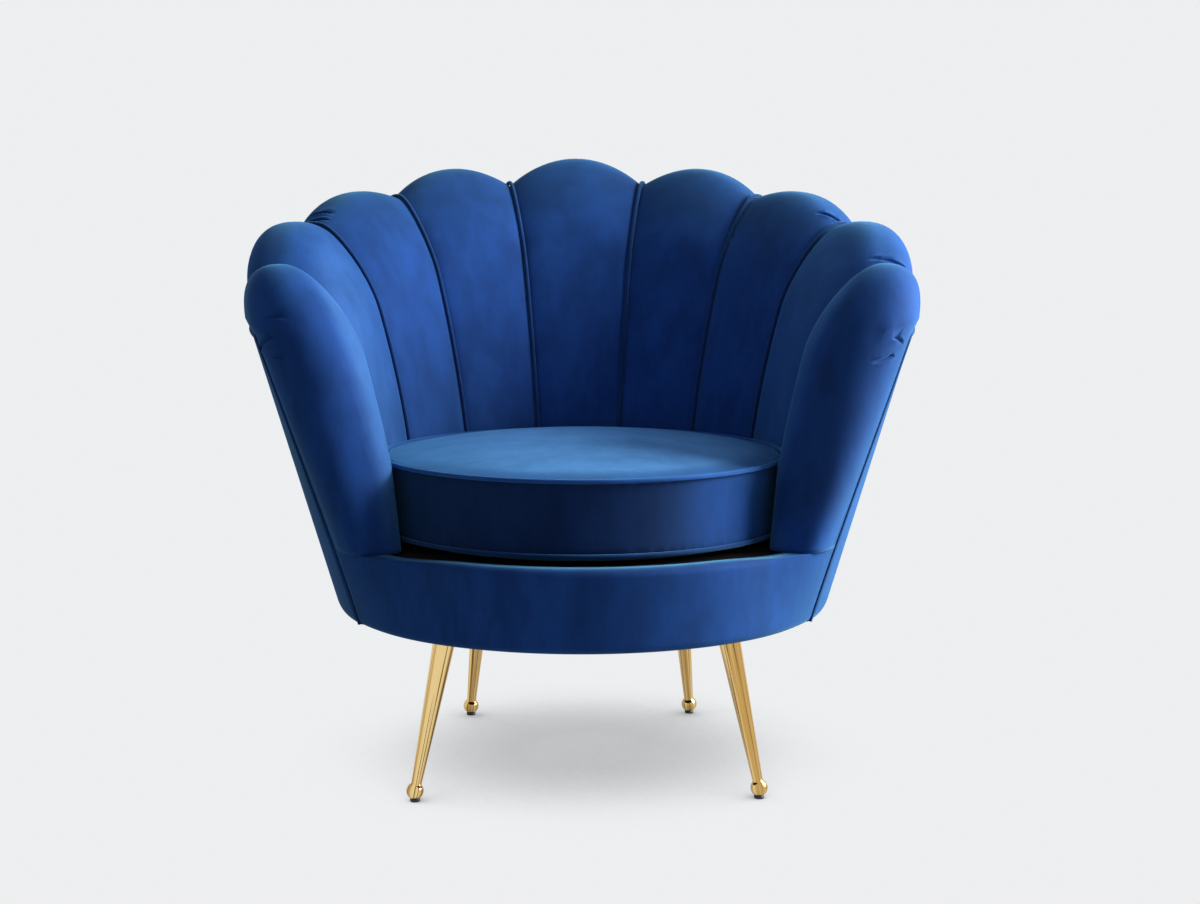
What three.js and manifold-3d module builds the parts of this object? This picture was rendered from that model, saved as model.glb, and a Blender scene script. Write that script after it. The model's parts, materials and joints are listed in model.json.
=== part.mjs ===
// Scallop back chair: a round upholstered tub chair. Nine padded channels wrap a timber frame and
// rise into scallops at the rim, a loose boxed cushion sits in the tub, and four splayed tapered
// metal legs with ball feet carry it.
// Millimetres. +Z is up and the chair faces -Y. Inside this file, angles are measured round the
// upright axis of the base circle from straight back, and grow towards the arms.
import * as THREE from 'three';
import { mergeVertices } from 'three/addons/utils/BufferGeometryUtils.js';
import Module from 'manifold-3d';

const wasm = await Module();
wasm.setup();

// Clearances
const clearance = 0.3;
const cushionClearance = 1.2;
const cutOverrun = 5;
const mergeDistance = 0.001;

// Heights of the tub above the floor
const baseBottomHeight = 195;
const backRimHeight = 728;
const sideRimHeight = 617;
const armTopHeight = 631;
const frontLipHeight = 545;
const scallopRises = [36.5, 30.5, 23.5, 26];

// The wall of the tub: how thick it is at its foot, and its flare
const wallFootDepth = 51.5;
const outerFlareShare = 0.2915;
const outerLeanShare = 0.015;
const innerFlareShare = 0.12;
const innerLeanShare = 0.09;
const innerBow = 42;
const innerBowHeight = 300;

// Channels: angles of the seams, and their padding
const centreHalfAngle = THREE.MathUtils.degToRad(13.2);
const channelAngle = THREE.MathUtils.degToRad(24.5);
const sideChannels = 3;
const grooveDepth = 12;
const rollGrooveDepth = 2;
const padDepth = 39.5;
const rollHeight = 110;
const channelSwell = 11;
const armSwell = 4.5;
const armFlareShare = 0.5;
const roundPower = 2;
const rollPower = 2.6;
const ridgeShare = 0.54;
const lipDrop = 60;
const coverRoom = 5;
const noseLength = 58;
const armEdgeLowAngle = THREE.MathUtils.degToRad(118);
const armEdgeHighAngle = THREE.MathUtils.degToRad(107);
const columnShares = [-1, -0.8, -0.45, 0, 0.45, 0.8, 1];
const armColumnShares = [0, 0.12, 0.3, 0.5, 0.75, 1];
const wallRowShares = [0, 1 / 3, 2 / 3, 1];
const noseSteps = 6;
const rollSteps = 4;
const padPower = 0.6;
const edgePower = 1.5;
const noseLowPower = 3.5;
const noseHighPower = 2;
const noseFullHeight = 200;
const armCrownShare = 0.67;

// Piping
const weltRadius = 2.8;
const weltSides = 6;
const weltProud = -0.5;
const weltEndShare = 0.5;
const seamWeltRise = 4.9;

// Cushion
const cushionRadius = 254.5;
const cushionForward = 17.5;
const cushionBoxingHeight = 87.5;
const cushionLowWeltRise = 12;
const cushionCrown = 28;
const cushionCrownShares = [[0, 1], [0.35, 0.9], [0.62, 0.68], [0.84, 0.36]];
const cushionBulge = 1.4;
const cushionRimRound = 29.5;
const coverThickness = 2;
const zipShare = 500 / 509;
const zipGap = 3;
const cushionSegments = 32;

// Timber frame
const railThickness = 18;
const railRise = 11;
const railHeight = 66;
const railJoinAngle = THREE.MathUtils.degToRad(45);
const railSegments = 8;
const crossRailWidth = 62;
const crossRailShare = 0.64;
const cornerBlockWidth = 110;
const cornerBlockLength = 96;
const boardThickness = 9;
const topRailDrop = 46;
const topRailHeight = 36;
const ribThickness = 18;
const ribFootRise = 8;
const armBoardThickness = 12;
const boardEndRoom = 4;
const boardRoom = 0.9;
const boardEase = 0.8;
const ribSeamShares = [0, 1.5, 3];

// Seat suspension
const deckRoom = 2.3;
const deckThickness = 11.8;
const deckSegments = 48;
const springWireRadius = 1.8;
const springAmplitude = 22;
const springPitch = 50;
const springPlaceShares = [-33 / 62, -11 / 62, 11 / 62, 33 / 62];
const springBendSteps = 4;
const springWireSides = 4;
const springClipWidth = 18;
const springClipLength = 14;
const springClipThickness = 2;
const springLand = 10;

// Covers of the base
const coverShell = 3;
const coverMiddleShare = 0.5;
const baseEdgeHeight = 14;
const baseEdgeInset = 6;
const bandInset = 11.7;
const bandProud = 3;
const bandFlareShare = 0.067;
const bandBlendAngle = THREE.MathUtils.degToRad(24);
const bandCrest = 5;
const bandEdgeRound = 7;
const edgeStepShare = 1 / 3;
const crestFullShare = 0.45;
const crestEndShare = 0.8;
const bandColumns = 22;
const dustCoverThickness = 1;
const dustCoverHole = 9;
const dustCoverSegments = 24;
const holeSegments = 8;

// Legs
const frontLegShares = [83 / 155, -21 / 31];
const rearLegShares = [66 / 155, 69 / 155];
const frontSplay = [39, -16];
const rearSplay = [19, 33];
const legTopRadius = 13.6;
const legNeckRadius = 5.8;
const ballRadius = 10.4;
const ballHeight = 12.8;
const studRadius = 4;
const studLength = 24;
const studHoleRadius = 5.5;
const studSides = 10;
const legSegments = 16;
const ballSteps = 6;
const glideRadius = 6;
const glideHeight = 4.4;
const plateSize = 50;
const plateThickness = 3;
const screwHeadRadius = 4;
const screwHeadHeight = 1.4;
const screwSides = 8;
const screwInset = 8;

// Sizes that follow from the ones above
const tubRadius = cushionRadius + weltRadius + cushionClearance;
const baseRadius = tubRadius + wallFootDepth;
const bandInnerRadius = baseRadius - bandInset;
const bandRadius = baseRadius + bandProud;
const deckRadius = bandInnerRadius - deckRoom;
const railBottomHeight = baseBottomHeight + railRise;
const railTopHeight = railBottomHeight + railHeight;
const ribFootHeight = railBottomHeight + ribFootRise;
const crossRailHeight = crossRailShare * railHeight;
const springSeatHeight = railTopHeight + clearance;
const springTopHeight = springSeatHeight + springClipThickness + 2 * springWireRadius;
const deckTopHeight = springTopHeight + clearance + deckThickness;
const cushionLowWeltHeight = deckTopHeight + cushionLowWeltRise;
const cushionWeltHeight = cushionLowWeltHeight + cushionBoxingHeight;
const cushionFlatRadius = cushionRadius - cushionRimRound;
const zipLength = zipShare * cushionRadius;
const railOuterRadius = bandInnerRadius * Math.cos(railJoinAngle / railSegments) - clearance;
const railInnerRadius = railOuterRadius - railThickness;
const lastSeamAngle = centreHalfAngle + sideChannels * channelAngle;

function material(colour, roughness, metalness = 0) {
  return new THREE.MeshStandardMaterial({ color: colour, roughness, metalness });
}

const velvet = 0x17408f;
const darkVelvet = 0x12316f;
const timber = 0xc79a63;
const foam = 0xe9dfae;
const steel = 0x8d9094;
const gold = 0xd9a63c;
const black = 0x161616;
const velvetFinish = () => material(velvet, 0.7);
const pipingFinish = () => material(darkVelvet, 0.65);
const timberFinish = () => material(timber, 0.8);
const steelFinish = () => material(steel, 0.45, 1);

const chair = new THREE.Group();

function addPiece(name, geometry, finish) {
  const mesh = new THREE.Mesh(geometry, finish);
  mesh.name = name;
  chair.add(mesh);
  return mesh;
}

function mix(from, to, share) {
  return from + (to - from) * share;
}

function mirrored(point) {
  return new THREE.Vector3(-point.x, point.y, point.z);
}

// A point at a radius and an angle from straight back, with a step sideways along the circle.
function polar(radius, angle, height, along = 0) {
  return new THREE.Vector3(
    radius * Math.sin(angle) + along * Math.cos(angle),
    radius * Math.cos(angle) - along * Math.sin(angle),
    height,
  );
}

// Closed bodies

function bodyOf(points, triangles) {
  let volume = 0;
  for (const [a, b, c] of triangles) {
    volume += points[a].dot(points[b].clone().cross(points[c]));
  }
  const turned = volume < 0 ? triangles.map(([a, b, c]) => [a, c, b]) : triangles;
  const geometry = new THREE.BufferGeometry().setFromPoints(points);
  geometry.setIndex(turned.flat());
  geometry.computeVertexNormals();
  return geometry;
}

// A sheet with a wall: fronts and backs are matching points, and faces index the fronts.
function thickSheet(fronts, backs, faces) {
  const count = fronts.length;
  const triangles = [];
  const edges = new Set();
  for (const corners of faces) {
    const around = corners.filter((corner, i) => corner !== corners[(i + 1) % corners.length]);
    for (let i = 1; i + 1 < around.length; i += 1) {
      const [a, b, c] = [around[0], around[i], around[i + 1]];
      triangles.push([a, b, c], [a + count, c + count, b + count]);
      edges.add(`${a} ${b}`).add(`${b} ${c}`).add(`${c} ${a}`);
    }
  }
  for (const edge of edges) {
    const [a, b] = edge.split(' ').map(Number);
    if (!edges.has(`${b} ${a}`)) {
      triangles.push([b, a, a + count], [b, a + count, b + count]);
    }
  }
  return bodyOf([...fronts, ...backs], triangles);
}

// A sheet with a wall from columns of matching front and back points, given from the left to the
// right. The faces of its left half are cut the other way, so that the two halves are mirrored.
function columnSheet(columns) {
  const rows = columns[0].length;
  const faces = [];
  for (let i = 0; i + 1 < columns.length; i += 1) {
    for (let j = 0; j + 1 < rows; j += 1) {
      const corner = i * rows + j;
      const face = [corner, corner + 1, corner + rows + 1, corner + rows];
      if (columns[i][j][0].x + columns[i + 1][j][0].x < 0) {
        face.unshift(face.pop());
      }
      faces.push(face);
    }
  }
  const pairs = columns.flat();
  return thickSheet(pairs.map((pair) => pair[0]), pairs.map((pair) => pair[1]), faces);
}

function solidOf(geometry) {
  const bare = geometry.clone();
  bare.deleteAttribute('normal');
  bare.deleteAttribute('uv');
  const merged = mergeVertices(bare, mergeDistance);
  return new wasm.Manifold(new wasm.Mesh({
    numProp: 3,
    vertProperties: merged.attributes.position.array,
    triVerts: new Uint32Array(merged.index.array),
  }));
}

function geometryOf(solid) {
  const mesh = solid.getMesh();
  const geometry = new THREE.BufferGeometry();
  geometry.setAttribute('position', new THREE.BufferAttribute(mesh.vertProperties, 3));
  geometry.setIndex(new THREE.BufferAttribute(mesh.triVerts, 1));
  geometry.computeVertexNormals();
  return geometry;
}

// A path through given points that keeps each of them, for a swept section.
class PointPath extends THREE.Curve {
  constructor(points, closed = false) {
    super();
    this.points = points;
    this.closed = closed;
  }

  getPoint(share) {
    const last = this.points.length - 1;
    const place = THREE.MathUtils.clamp(share, 0, 1) * last;
    const before = Math.min(Math.floor(place), last - 1);
    return this.points[before].clone().lerp(this.points[before + 1], place - before);
  }

  getPointAt(share) {
    return this.getPoint(share);
  }

  getTangentAt(share) {
    const last = this.points.length - 1;
    const place = Math.round(THREE.MathUtils.clamp(share, 0, 1) * last);
    const before = this.points[Math.max(place - 1, 0)];
    const after = this.points[Math.min(place + 1, last)];
    return after.clone().sub(before).normalize();
  }
}

function tube(points, radius, sides) {
  const section = new THREE.Shape();
  for (let i = 0; i < sides; i += 1) {
    const turn = (2 * Math.PI * i) / sides;
    const [x, y] = [radius * Math.cos(turn), radius * Math.sin(turn)];
    if (i === 0) {
      section.moveTo(x, y);
    } else {
      section.lineTo(x, y);
    }
  }
  return new THREE.ExtrudeGeometry(section, {
    steps: points.length - 1,
    extrudePath: new PointPath(points),
    bevelEnabled: false,
  });
}

// The wall of the tub

function innerRadius(angle, height) {
  const rise = Math.max(0, height - cushionWeltHeight);
  const forward = cushionForward - innerLeanShare * rise;
  const bow = innerBow * (rise / innerBowHeight) ** 2;
  return tubRadius + innerFlareShare * rise + bow - forward * Math.cos(angle);
}

function outerRadius(angle, height) {
  const rise = height - baseBottomHeight;
  return baseRadius + (outerFlareShare - outerLeanShare * Math.cos(angle)) * rise;
}

function rimHeight(angle) {
  const share = Math.min(Math.abs(angle) / lastSeamAngle, 1);
  return mix(backRimHeight, sideRimHeight, share ** 2);
}

// The line where the padding rolls in under the outer cover.
function lipHeight(angle) {
  const beyond = Math.max(0, Math.abs(angle) - lastSeamAngle) / (armEdgeHighAngle - lastSeamAngle);
  return mix(rimHeight(angle) - lipDrop, frontLipHeight, Math.min(beyond, 1));
}

// The front edge of the outer cover.
function armEdgeAngle(height) {
  const share = Math.max(0, (height - baseBottomHeight) / (frontLipHeight - baseBottomHeight));
  return mix(armEdgeLowAngle, armEdgeHighAngle, share ** edgePower);
}

function besideWelt(angle, height) {
  return (weltRadius + clearance) / outerRadius(angle, height);
}

// The angle at which the arm's padding turns into its nose.
function noseAngle(height) {
  const edge = armEdgeAngle(height);
  return edge + besideWelt(edge, height);
}

const padBottomHeight = deckTopHeight + clearance;
const padLip = (angle) => lipHeight(angle) + weltRadius + clearance;
const topRailTop = (angle) => rimHeight(angle) - topRailDrop;
const topRailBottom = (angle) => topRailTop(angle) - topRailHeight;

// Heights of the rows of a wall, from the deck to where its top rolls over.
function rowHeights(top) {
  return [padBottomHeight, ...wallRowShares.map((share) => mix(cushionWeltHeight, top, share))];
}

// The skin of the padding, and the core behind it, where it stands at angleAt(height). Each gives
// its inner and outer radius at a height, the height of its ridge, and where its two rolls start.
// Above the lip the skin swells out, and keeps only a share of the wall's flare.
function skinOf(angleAt, ridge, swell, dipShare, flareShare = 1) {
  const swollen = mix(swell, -rollGrooveDepth, dipShare);
  const flared = mix(flareShare, 1, dipShare);
  const lip = padLip(angleAt(frontLipHeight));
  return {
    inner: (height) => innerRadius(angleAt(height), height) + grooveDepth * dipShare,
    outer: (height) => (
      height > lip
        ? outerRadius(angleAt(height), mix(lip, height, flared)) + swollen
        : outerRadius(angleAt(height), height)
    ),
    ridge,
    innerStart: ridge - rollHeight,
    outerStart: lip,
    outerPower: rollPower,
    square: false,
  };
}

function coreOf(angleAt) {
  const angle = angleAt(frontLipHeight);
  return {
    inner: (height) => innerRadius(angleAt(height), height) + padDepth,
    outer: (height) => outerRadius(angleAt(height), height) - coverRoom,
    ridge: topRailTop(angle) + boardRoom,
    innerStart: topRailBottom(angle),
    outerStart: padLip(angle),
    outerPower: roundPower,
    square: true,
  };
}

// A place on the roll over the rim: how far up and how far out, from its start to its ridge.
function rollPlace(step, power, square) {
  const turn = (Math.PI / 2) * (step / rollSteps);
  const size = square ? Math.max(Math.sin(turn), Math.cos(turn)) : 1;
  const bent = (part) => (part / size) ** (roundPower / power);
  return { up: bent(Math.sin(turn)), out: bent(Math.cos(turn)) };
}

// The rows of one face of a shape, from the deck up to its start and over its roll to its ridge.
function faceRows(shape, face, start, power) {
  const ridgeRadius = mix(shape.inner(shape.ridge), shape.outer(shape.ridge), ridgeShare);
  const rows = rowHeights(start).map((height) => ({ height, radius: face(height) }));
  for (let step = 1; step <= rollSteps; step += 1) {
    const { up, out } = rollPlace(step, power, shape.square);
    const height = mix(start, shape.ridge, up);
    rows.push({ height, radius: mix(ridgeRadius, face(height), out) });
  }
  return rows;
}

const innerRows = (shape) => faceRows(shape, shape.inner, shape.innerStart, roundPower);
const outerRows = (shape) => faceRows(shape, shape.outer, shape.outerStart, shape.outerPower);
const lipRow = wallRowShares.length;
const ridgeRow = lipRow + rollSteps;

// One column of a pad: up the inside, over the rim and down to the lip outside.
function wallColumn(angleAt, shape) {
  const rows = [...innerRows(shape), ...outerRows(shape).slice(lipRow, ridgeRow).reverse()];
  return rows.map(({ height, radius }) => polar(radius, angleAt(height), height));
}

function padShare(place) {
  return (1 - Math.min(place ** 2, 1)) ** padPower;
}

// One channel between two seams, whose rim rises into a scallop.
function channelPad(fromAngle, toAngle, scallopRise) {
  const columns = columnShares.map((place) => {
    const edge = place * (1 - clearance / 2 / tubRadius / (toAngle - fromAngle));
    const angle = mix(fromAngle, toAngle, (edge + 1) / 2);
    const angleAt = () => angle;
    const ridge = rimHeight(angle) + scallopRise * (1 - place ** 2);
    const skin = skinOf(angleAt, ridge, channelSwell, 1 - padShare(place));
    const backs = wallColumn(angleAt, coreOf(angleAt));
    return wallColumn(angleAt, skin).map((point, i) => [point, backs[i]]);
  });
  return columnSheet(columns);
}

function armAngle(share, height) {
  return mix(lastSeamAngle + clearance / 2 / tubRadius, noseAngle(height), share);
}

// The skin and the core of the arm's channel at a share of the way from its seam to its nose.
function armShapes(share) {
  const angleAt = (height) => armAngle(share, height);
  const ridge = mix(sideRimHeight, armTopHeight, 1 - (1 - share) ** 2);
  const place = Math.min(share / armCrownShare, 1) - 1;
  const skin = skinOf(angleAt, ridge, armSwell, 1 - padShare(place), armFlareShare);
  return { angleAt, skin, core: coreOf(angleAt) };
}

// A column of the nose round the front of the arm, at a turn from its inside to its outside.
function noseColumn(shape, turn, length) {
  const outside = outerRows(shape);
  return innerRows(shape).map((inner, row) => {
    const outer = outside[row];
    const full = Math.min(1, (outer.height - padBottomHeight) / noseFullHeight);
    const power = mix(noseLowPower, noseHighPower, full);
    const across = -Math.sign(Math.cos(turn)) * Math.abs(Math.cos(turn)) ** (2 / power);
    const share = (across + 1) / 2;
    const height = mix(inner.height, outer.height, share);
    const roll = row > lipRow ? rollPlace(row - lipRow, roundPower, false).out : 1;
    const ahead = length * roll * Math.sin(turn) ** (2 / power);
    return polar(mix(inner.radius, outer.radius, share), noseAngle(height), height, ahead);
  });
}

// The arm's channel: its wall from the last seam, and the nose that wraps the front of the arm.
function armPad(side) {
  const fronts = [];
  const backs = [];
  const faces = [];
  const addPoint = (front, back) => {
    fronts.push(front);
    backs.push(back);
    return fronts.length - 1;
  };
  const walls = armColumnShares.map((share) => {
    const { angleAt, skin, core } = armShapes(share);
    const inside = wallColumn(angleAt, core);
    return wallColumn(angleAt, skin).map((point, i) => addPoint(point, inside[i]));
  });
  const strip = (left, right, from, to) => {
    for (let row = from; row < to; row += 1) {
      faces.push([left[row], left[row + 1], right[row + 1], right[row]]);
    }
  };
  for (let i = 0; i + 1 < walls.length; i += 1) {
    strip(walls[i], walls[i + 1], 0, walls[i].length - 1);
  }
  const { skin, core } = armShapes(1);
  const last = walls[walls.length - 1];
  const outside = last.slice(ridgeRow).reverse();
  let before = last.slice(0, ridgeRow + 1);
  for (let step = 1; step <= noseSteps; step += 1) {
    const turn = (Math.PI * step) / noseSteps;
    const front = noseColumn(skin, turn, noseLength);
    const back = noseColumn(core, turn, 0);
    const column = front.map((point, row) => {
      if (row === ridgeRow) {
        return last[ridgeRow];
      }
      if (step === noseSteps && row >= lipRow) {
        return outside[row - lipRow];
      }
      return addPoint(point, back[row]);
    });
    strip(before, column, 0, ridgeRow);
    before = column;
  }
  if (side < 0) {
    return thickSheet(fronts.map(mirrored), backs.map(mirrored), faces);
  }
  return thickSheet(fronts, backs, faces);
}

// The seams from the left arm to the right arm, as seen from the front, and the channels between.
const seamAngles = [];
for (let i = 0; i <= sideChannels; i += 1) {
  seamAngles.push(centreHalfAngle + i * channelAngle);
  seamAngles.unshift(-seamAngles[seamAngles.length - 1]);
}
const rightSeams = seamAngles.filter((angle) => angle > 0);

addPiece('back_channel_1', armPad(-1), velvetFinish());
for (let i = 1; i < seamAngles.length; i += 1) {
  const scallopRise = scallopRises[Math.abs(i - scallopRises.length)];
  const pad = channelPad(seamAngles[i - 1], seamAngles[i], scallopRise);
  addPiece(`back_channel_${i + 1}`, pad, velvetFinish());
}
addPiece(`back_channel_${seamAngles.length + 1}`, armPad(1), velvetFinish());

// Piping in the seams between the channels, and round the edge of the outer cover

function seamWelt(angle) {
  const angleAt = () => angle;
  const skin = skinOf(angleAt, rimHeight(angle), channelSwell, 1);
  const proud = {
    inner: (height) => skin.inner(height) - seamWeltRise,
    outer: (height) => skin.outer(height) + seamWeltRise,
    ridge: skin.ridge + seamWeltRise,
  };
  const points = wallColumn(angleAt, { ...skin, ...proud });
  const lip = points.pop();
  points.push(points[points.length - 1].clone().lerp(lip, weltEndShare));
  return tube(points, weltRadius, weltSides);
}

seamAngles.forEach((angle, i) => {
  addPiece(`back_welt_${i + 1}`, seamWelt(angle), pipingFinish());
});

// Angles of the columns from the middle of the back to the nose of the arm, at a height.
function wallAngles(height) {
  const angles = columnShares.filter((share) => share >= 0).map((share) => share * centreHalfAngle);
  for (let i = 0; i < sideChannels; i += 1) {
    for (const share of columnShares.slice(1)) {
      angles.push(mix(rightSeams[i], rightSeams[i + 1], (share + 1) / 2));
    }
  }
  for (const share of armColumnShares.slice(1)) {
    angles.push(armAngle(share, height));
  }
  return angles;
}

const columnCount = wallAngles(frontLipHeight).length;

// A slab of the wall between two radii, from its bottom to its top, cut back from the nose.
function wallSlab(heightsAt, inner, outer, endInset) {
  const half = [];
  for (let column = 0; column < columnCount; column += 1) {
    const rows = heightsAt(wallAngles(frontLipHeight)[column]).map((height) => {
      const angles = wallAngles(height);
      const at = (radius, index) => polar(radius(angles[index], height), angles[index], height);
      return [outer, inner].map((radius) => {
        const point = at(radius, column);
        if (column === columnCount - 1) {
          const back = at(radius, column - 1).sub(point);
          point.add(back.setLength(endInset));
        }
        return point;
      });
    });
    half.push(rows);
  }
  const left = half.slice(1).reverse().map((rows) => rows.map((pair) => pair.map(mirrored)));
  return columnSheet([...left, ...half]);
}

const coverHeights = [
  baseBottomHeight + baseEdgeHeight,
  deckTopHeight,
  cushionWeltHeight,
  mix(cushionWeltHeight, frontLipHeight, coverMiddleShare),
];
const coverTop = (angle) => lipHeight(angle) - weltRadius - clearance;
const coverRadius = (angle, height) => {
  const turned = 1 - Math.min(1, (height - baseBottomHeight) / baseEdgeHeight);
  return outerRadius(angle, height) - baseEdgeInset * (1 - Math.sqrt(1 - turned ** 2));
};
addPiece(
  'outer_back_cover',
  wallSlab(
    (angle) => [baseBottomHeight, ...coverHeights, coverTop(angle)],
    (angle, height) => coverRadius(angle, height) - coverShell,
    coverRadius,
    2 * (weltRadius + clearance),
  ),
  velvetFinish(),
);

function outerWeltPath() {
  const points = [];
  for (const height of [baseBottomHeight + weltRadius, ...coverHeights, frontLipHeight]) {
    const angle = armEdgeAngle(height);
    points.push(polar(outerRadius(angle, height) + weltProud, angle, height));
  }
  const angles = wallAngles(frontLipHeight).reverse().slice(2);
  for (const angle of angles) {
    points.push(polar(outerRadius(angle, lipHeight(angle)) + weltProud, angle, lipHeight(angle)));
  }
  return [...points, ...points.slice(0, -1).reverse().map(mirrored)];
}

addPiece('outer_cover_welt', tube(outerWeltPath(), weltRadius, weltSides), pipingFinish());

// Timber and board inside the wall

const boardInner = (angle, height) => innerRadius(angle, height) + padDepth + boardRoom;
const boardOuter = (angle, height) => boardInner(angle, height) + boardThickness;
const frameOuter = (angle, height) => outerRadius(angle, height) - coverRoom - clearance;
const armBoardRoom = armBoardThickness + boardEndRoom;

addPiece(
  'inner_back_board',
  wallSlab(
    (angle) => rowHeights(topRailBottom(angle) - clearance),
    boardInner,
    boardOuter,
    armBoardRoom,
  ),
  timberFinish(),
);
addPiece(
  'top_rail',
  wallSlab((angle) => [topRailBottom(angle), topRailTop(angle)], boardInner, frameOuter, armBoardRoom),
  timberFinish(),
);

// The board that closes the wall behind the nose of each arm.
function armFrontBoard(side) {
  const { core } = armShapes(1);
  const columns = [core.innerStart, core.outerStart].map((start, share) => {
    return [...rowHeights(start), topRailTop(armEdgeHighAngle)].map((height) => {
      const angle = noseAngle(height);
      const outside = frameOuter(angle, height) - boardEase;
      const radius = mix(boardInner(angle, height), outside, share);
      return [-clearance, -clearance - armBoardThickness].map((along) => {
        const point = polar(radius, angle, height, along);
        return side < 0 ? mirrored(point) : point;
      });
    });
  });
  return columnSheet(side < 0 ? columns.reverse() : columns);
}

addPiece('arm_front_board_left', armFrontBoard(-1), timberFinish());
addPiece('arm_front_board_right', armFrontBoard(1), timberFinish());

// An upright rib of sheet timber between the board and the outer cover, standing on the rails.
function backRib(angle) {
  const outline = new THREE.Shape();
  const inside = bandInnerRadius;
  const behindBoard = (height) => boardOuter(angle, height) + clearance;
  const underCover = (height) => outerRadius(angle, height) - coverRoom;
  const top = topRailBottom(Math.abs(angle) + ribThickness / 2 / tubRadius) - clearance;
  const step = Math.max(inside, behindBoard(padBottomHeight));
  outline.moveTo(inside, ribFootHeight);
  outline.lineTo(inside, padBottomHeight);
  for (const height of rowHeights(top)) {
    outline.lineTo(Math.max(step, behindBoard(height)), height);
  }
  outline.lineTo(underCover(top), top);
  outline.lineTo(underCover(ribFootHeight), ribFootHeight);
  const geometry = new THREE.ExtrudeGeometry(outline, { depth: ribThickness, bevelEnabled: false });
  geometry.translate(0, 0, -ribThickness / 2);
  geometry.rotateX(Math.PI / 2);
  geometry.rotateZ(Math.PI / 2 - angle);
  return geometry;
}

let ribNumber = 0;
for (const side of [-1, 1]) {
  for (const share of ribSeamShares) {
    ribNumber += 1;
    const angle = side * (centreHalfAngle + share * channelAngle);
    addPiece(`back_rib_${ribNumber}`, backRib(angle), timberFinish());
  }
}

// Seat rails: a ring of four curved timbers, a cross rail and two corner blocks for the legs

function railSector(fromAngle, toAngle) {
  const trim = clearance / 2 / railInnerRadius;
  const from = Math.PI / 2 - toAngle + trim;
  const to = Math.PI / 2 - fromAngle - trim;
  const outline = new THREE.Shape();
  outline.absarc(0, 0, railOuterRadius, from, to, false);
  outline.absarc(0, 0, railInnerRadius, to, from, true);
  const height = railTopHeight - railBottomHeight;
  const settings = { depth: height, curveSegments: railSegments, bevelEnabled: false };
  const geometry = new THREE.ExtrudeGeometry(outline, settings);
  geometry.translate(0, 0, railBottomHeight);
  return geometry;
}

const railNames = ['seat_rail_rear', 'seat_rail_right', 'seat_rail_front', 'seat_rail_left'];
railNames.forEach((name, i) => {
  const middle = (i * Math.PI) / 2;
  addPiece(name, railSector(middle - railJoinAngle, middle + railJoinAngle), timberFinish());
});

const roomRadius = railInnerRadius * Math.cos(railJoinAngle / railSegments) - clearance;
const ringSides = railNames.length * railSegments;
const insideRing = new THREE.CylinderGeometry(roomRadius, roomRadius, railTopHeight, ringSides);
insideRing.rotateX(Math.PI / 2);
insideRing.translate(0, 0, railBottomHeight);

// The four legs: where each axis meets the underside of the frame, and where its foot stands.
const legs = [
  { name: 'front_left', side: -1, shares: frontLegShares, splay: frontSplay },
  { name: 'front_right', side: 1, shares: frontLegShares, splay: frontSplay },
  { name: 'rear_left', side: -1, shares: rearLegShares, splay: rearSplay },
  { name: 'rear_right', side: 1, shares: rearLegShares, splay: rearSplay },
].map(({ name, side, shares, splay }) => {
  const [x, y] = shares.map((share) => share * baseRadius);
  const top = new THREE.Vector3(side * x, y, railBottomHeight);
  const ball = new THREE.Vector3(side * (x + splay[0]), y + splay[1], ballHeight);
  const axis = top.clone().sub(ball);
  return { name, top, ball, length: axis.length(), axis: axis.normalize() };
});

function alongLeg(geometry, leg) {
  const turn = new THREE.Quaternion().setFromUnitVectors(new THREE.Vector3(0, 0, 1), leg.axis);
  geometry.applyQuaternion(turn);
  geometry.translate(leg.ball.x, leg.ball.y, leg.ball.z);
  return geometry;
}

function studHole(leg) {
  const reach = studLength + cutOverrun;
  const hole = new THREE.CylinderGeometry(studHoleRadius, studHoleRadius, 2 * reach, legSegments);
  hole.rotateX(Math.PI / 2);
  hole.translate(0, 0, leg.length);
  return solidOf(alongLeg(hole, leg));
}

function box(width, depth, height, x, y, bottom) {
  const geometry = new THREE.BoxGeometry(width, depth, height);
  geometry.translate(x, y, bottom + height / 2);
  return geometry;
}

const rearLegs = legs.slice(2);
const crossRailPlace = rearLegs[0].top;
let crossRail = solidOf(
  box(2 * railOuterRadius, crossRailWidth, crossRailHeight, 0, crossRailPlace.y, crossRailPlace.z),
).intersect(solidOf(insideRing));
for (const leg of rearLegs) {
  crossRail = crossRail.subtract(studHole(leg));
}
addPiece('seat_cross_rail', geometryOf(crossRail), timberFinish());

for (const leg of legs.slice(0, 2)) {
  const block = new THREE.BoxGeometry(cornerBlockWidth, cornerBlockLength, crossRailHeight);
  block.rotateZ(Math.atan2(leg.top.y, leg.top.x) - Math.PI / 2);
  block.translate(leg.top.x, leg.top.y, railBottomHeight + crossRailHeight / 2);
  const shaped = solidOf(block).intersect(solidOf(insideRing)).subtract(studHole(leg));
  addPiece(`corner_block_${leg.name}`, geometryOf(shaped), timberFinish());
}

// Leg plates, legs and glides

const plateTopHeight = railBottomHeight - dustCoverThickness - 2 * clearance;
const plateBottomHeight = plateTopHeight - plateThickness;

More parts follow.
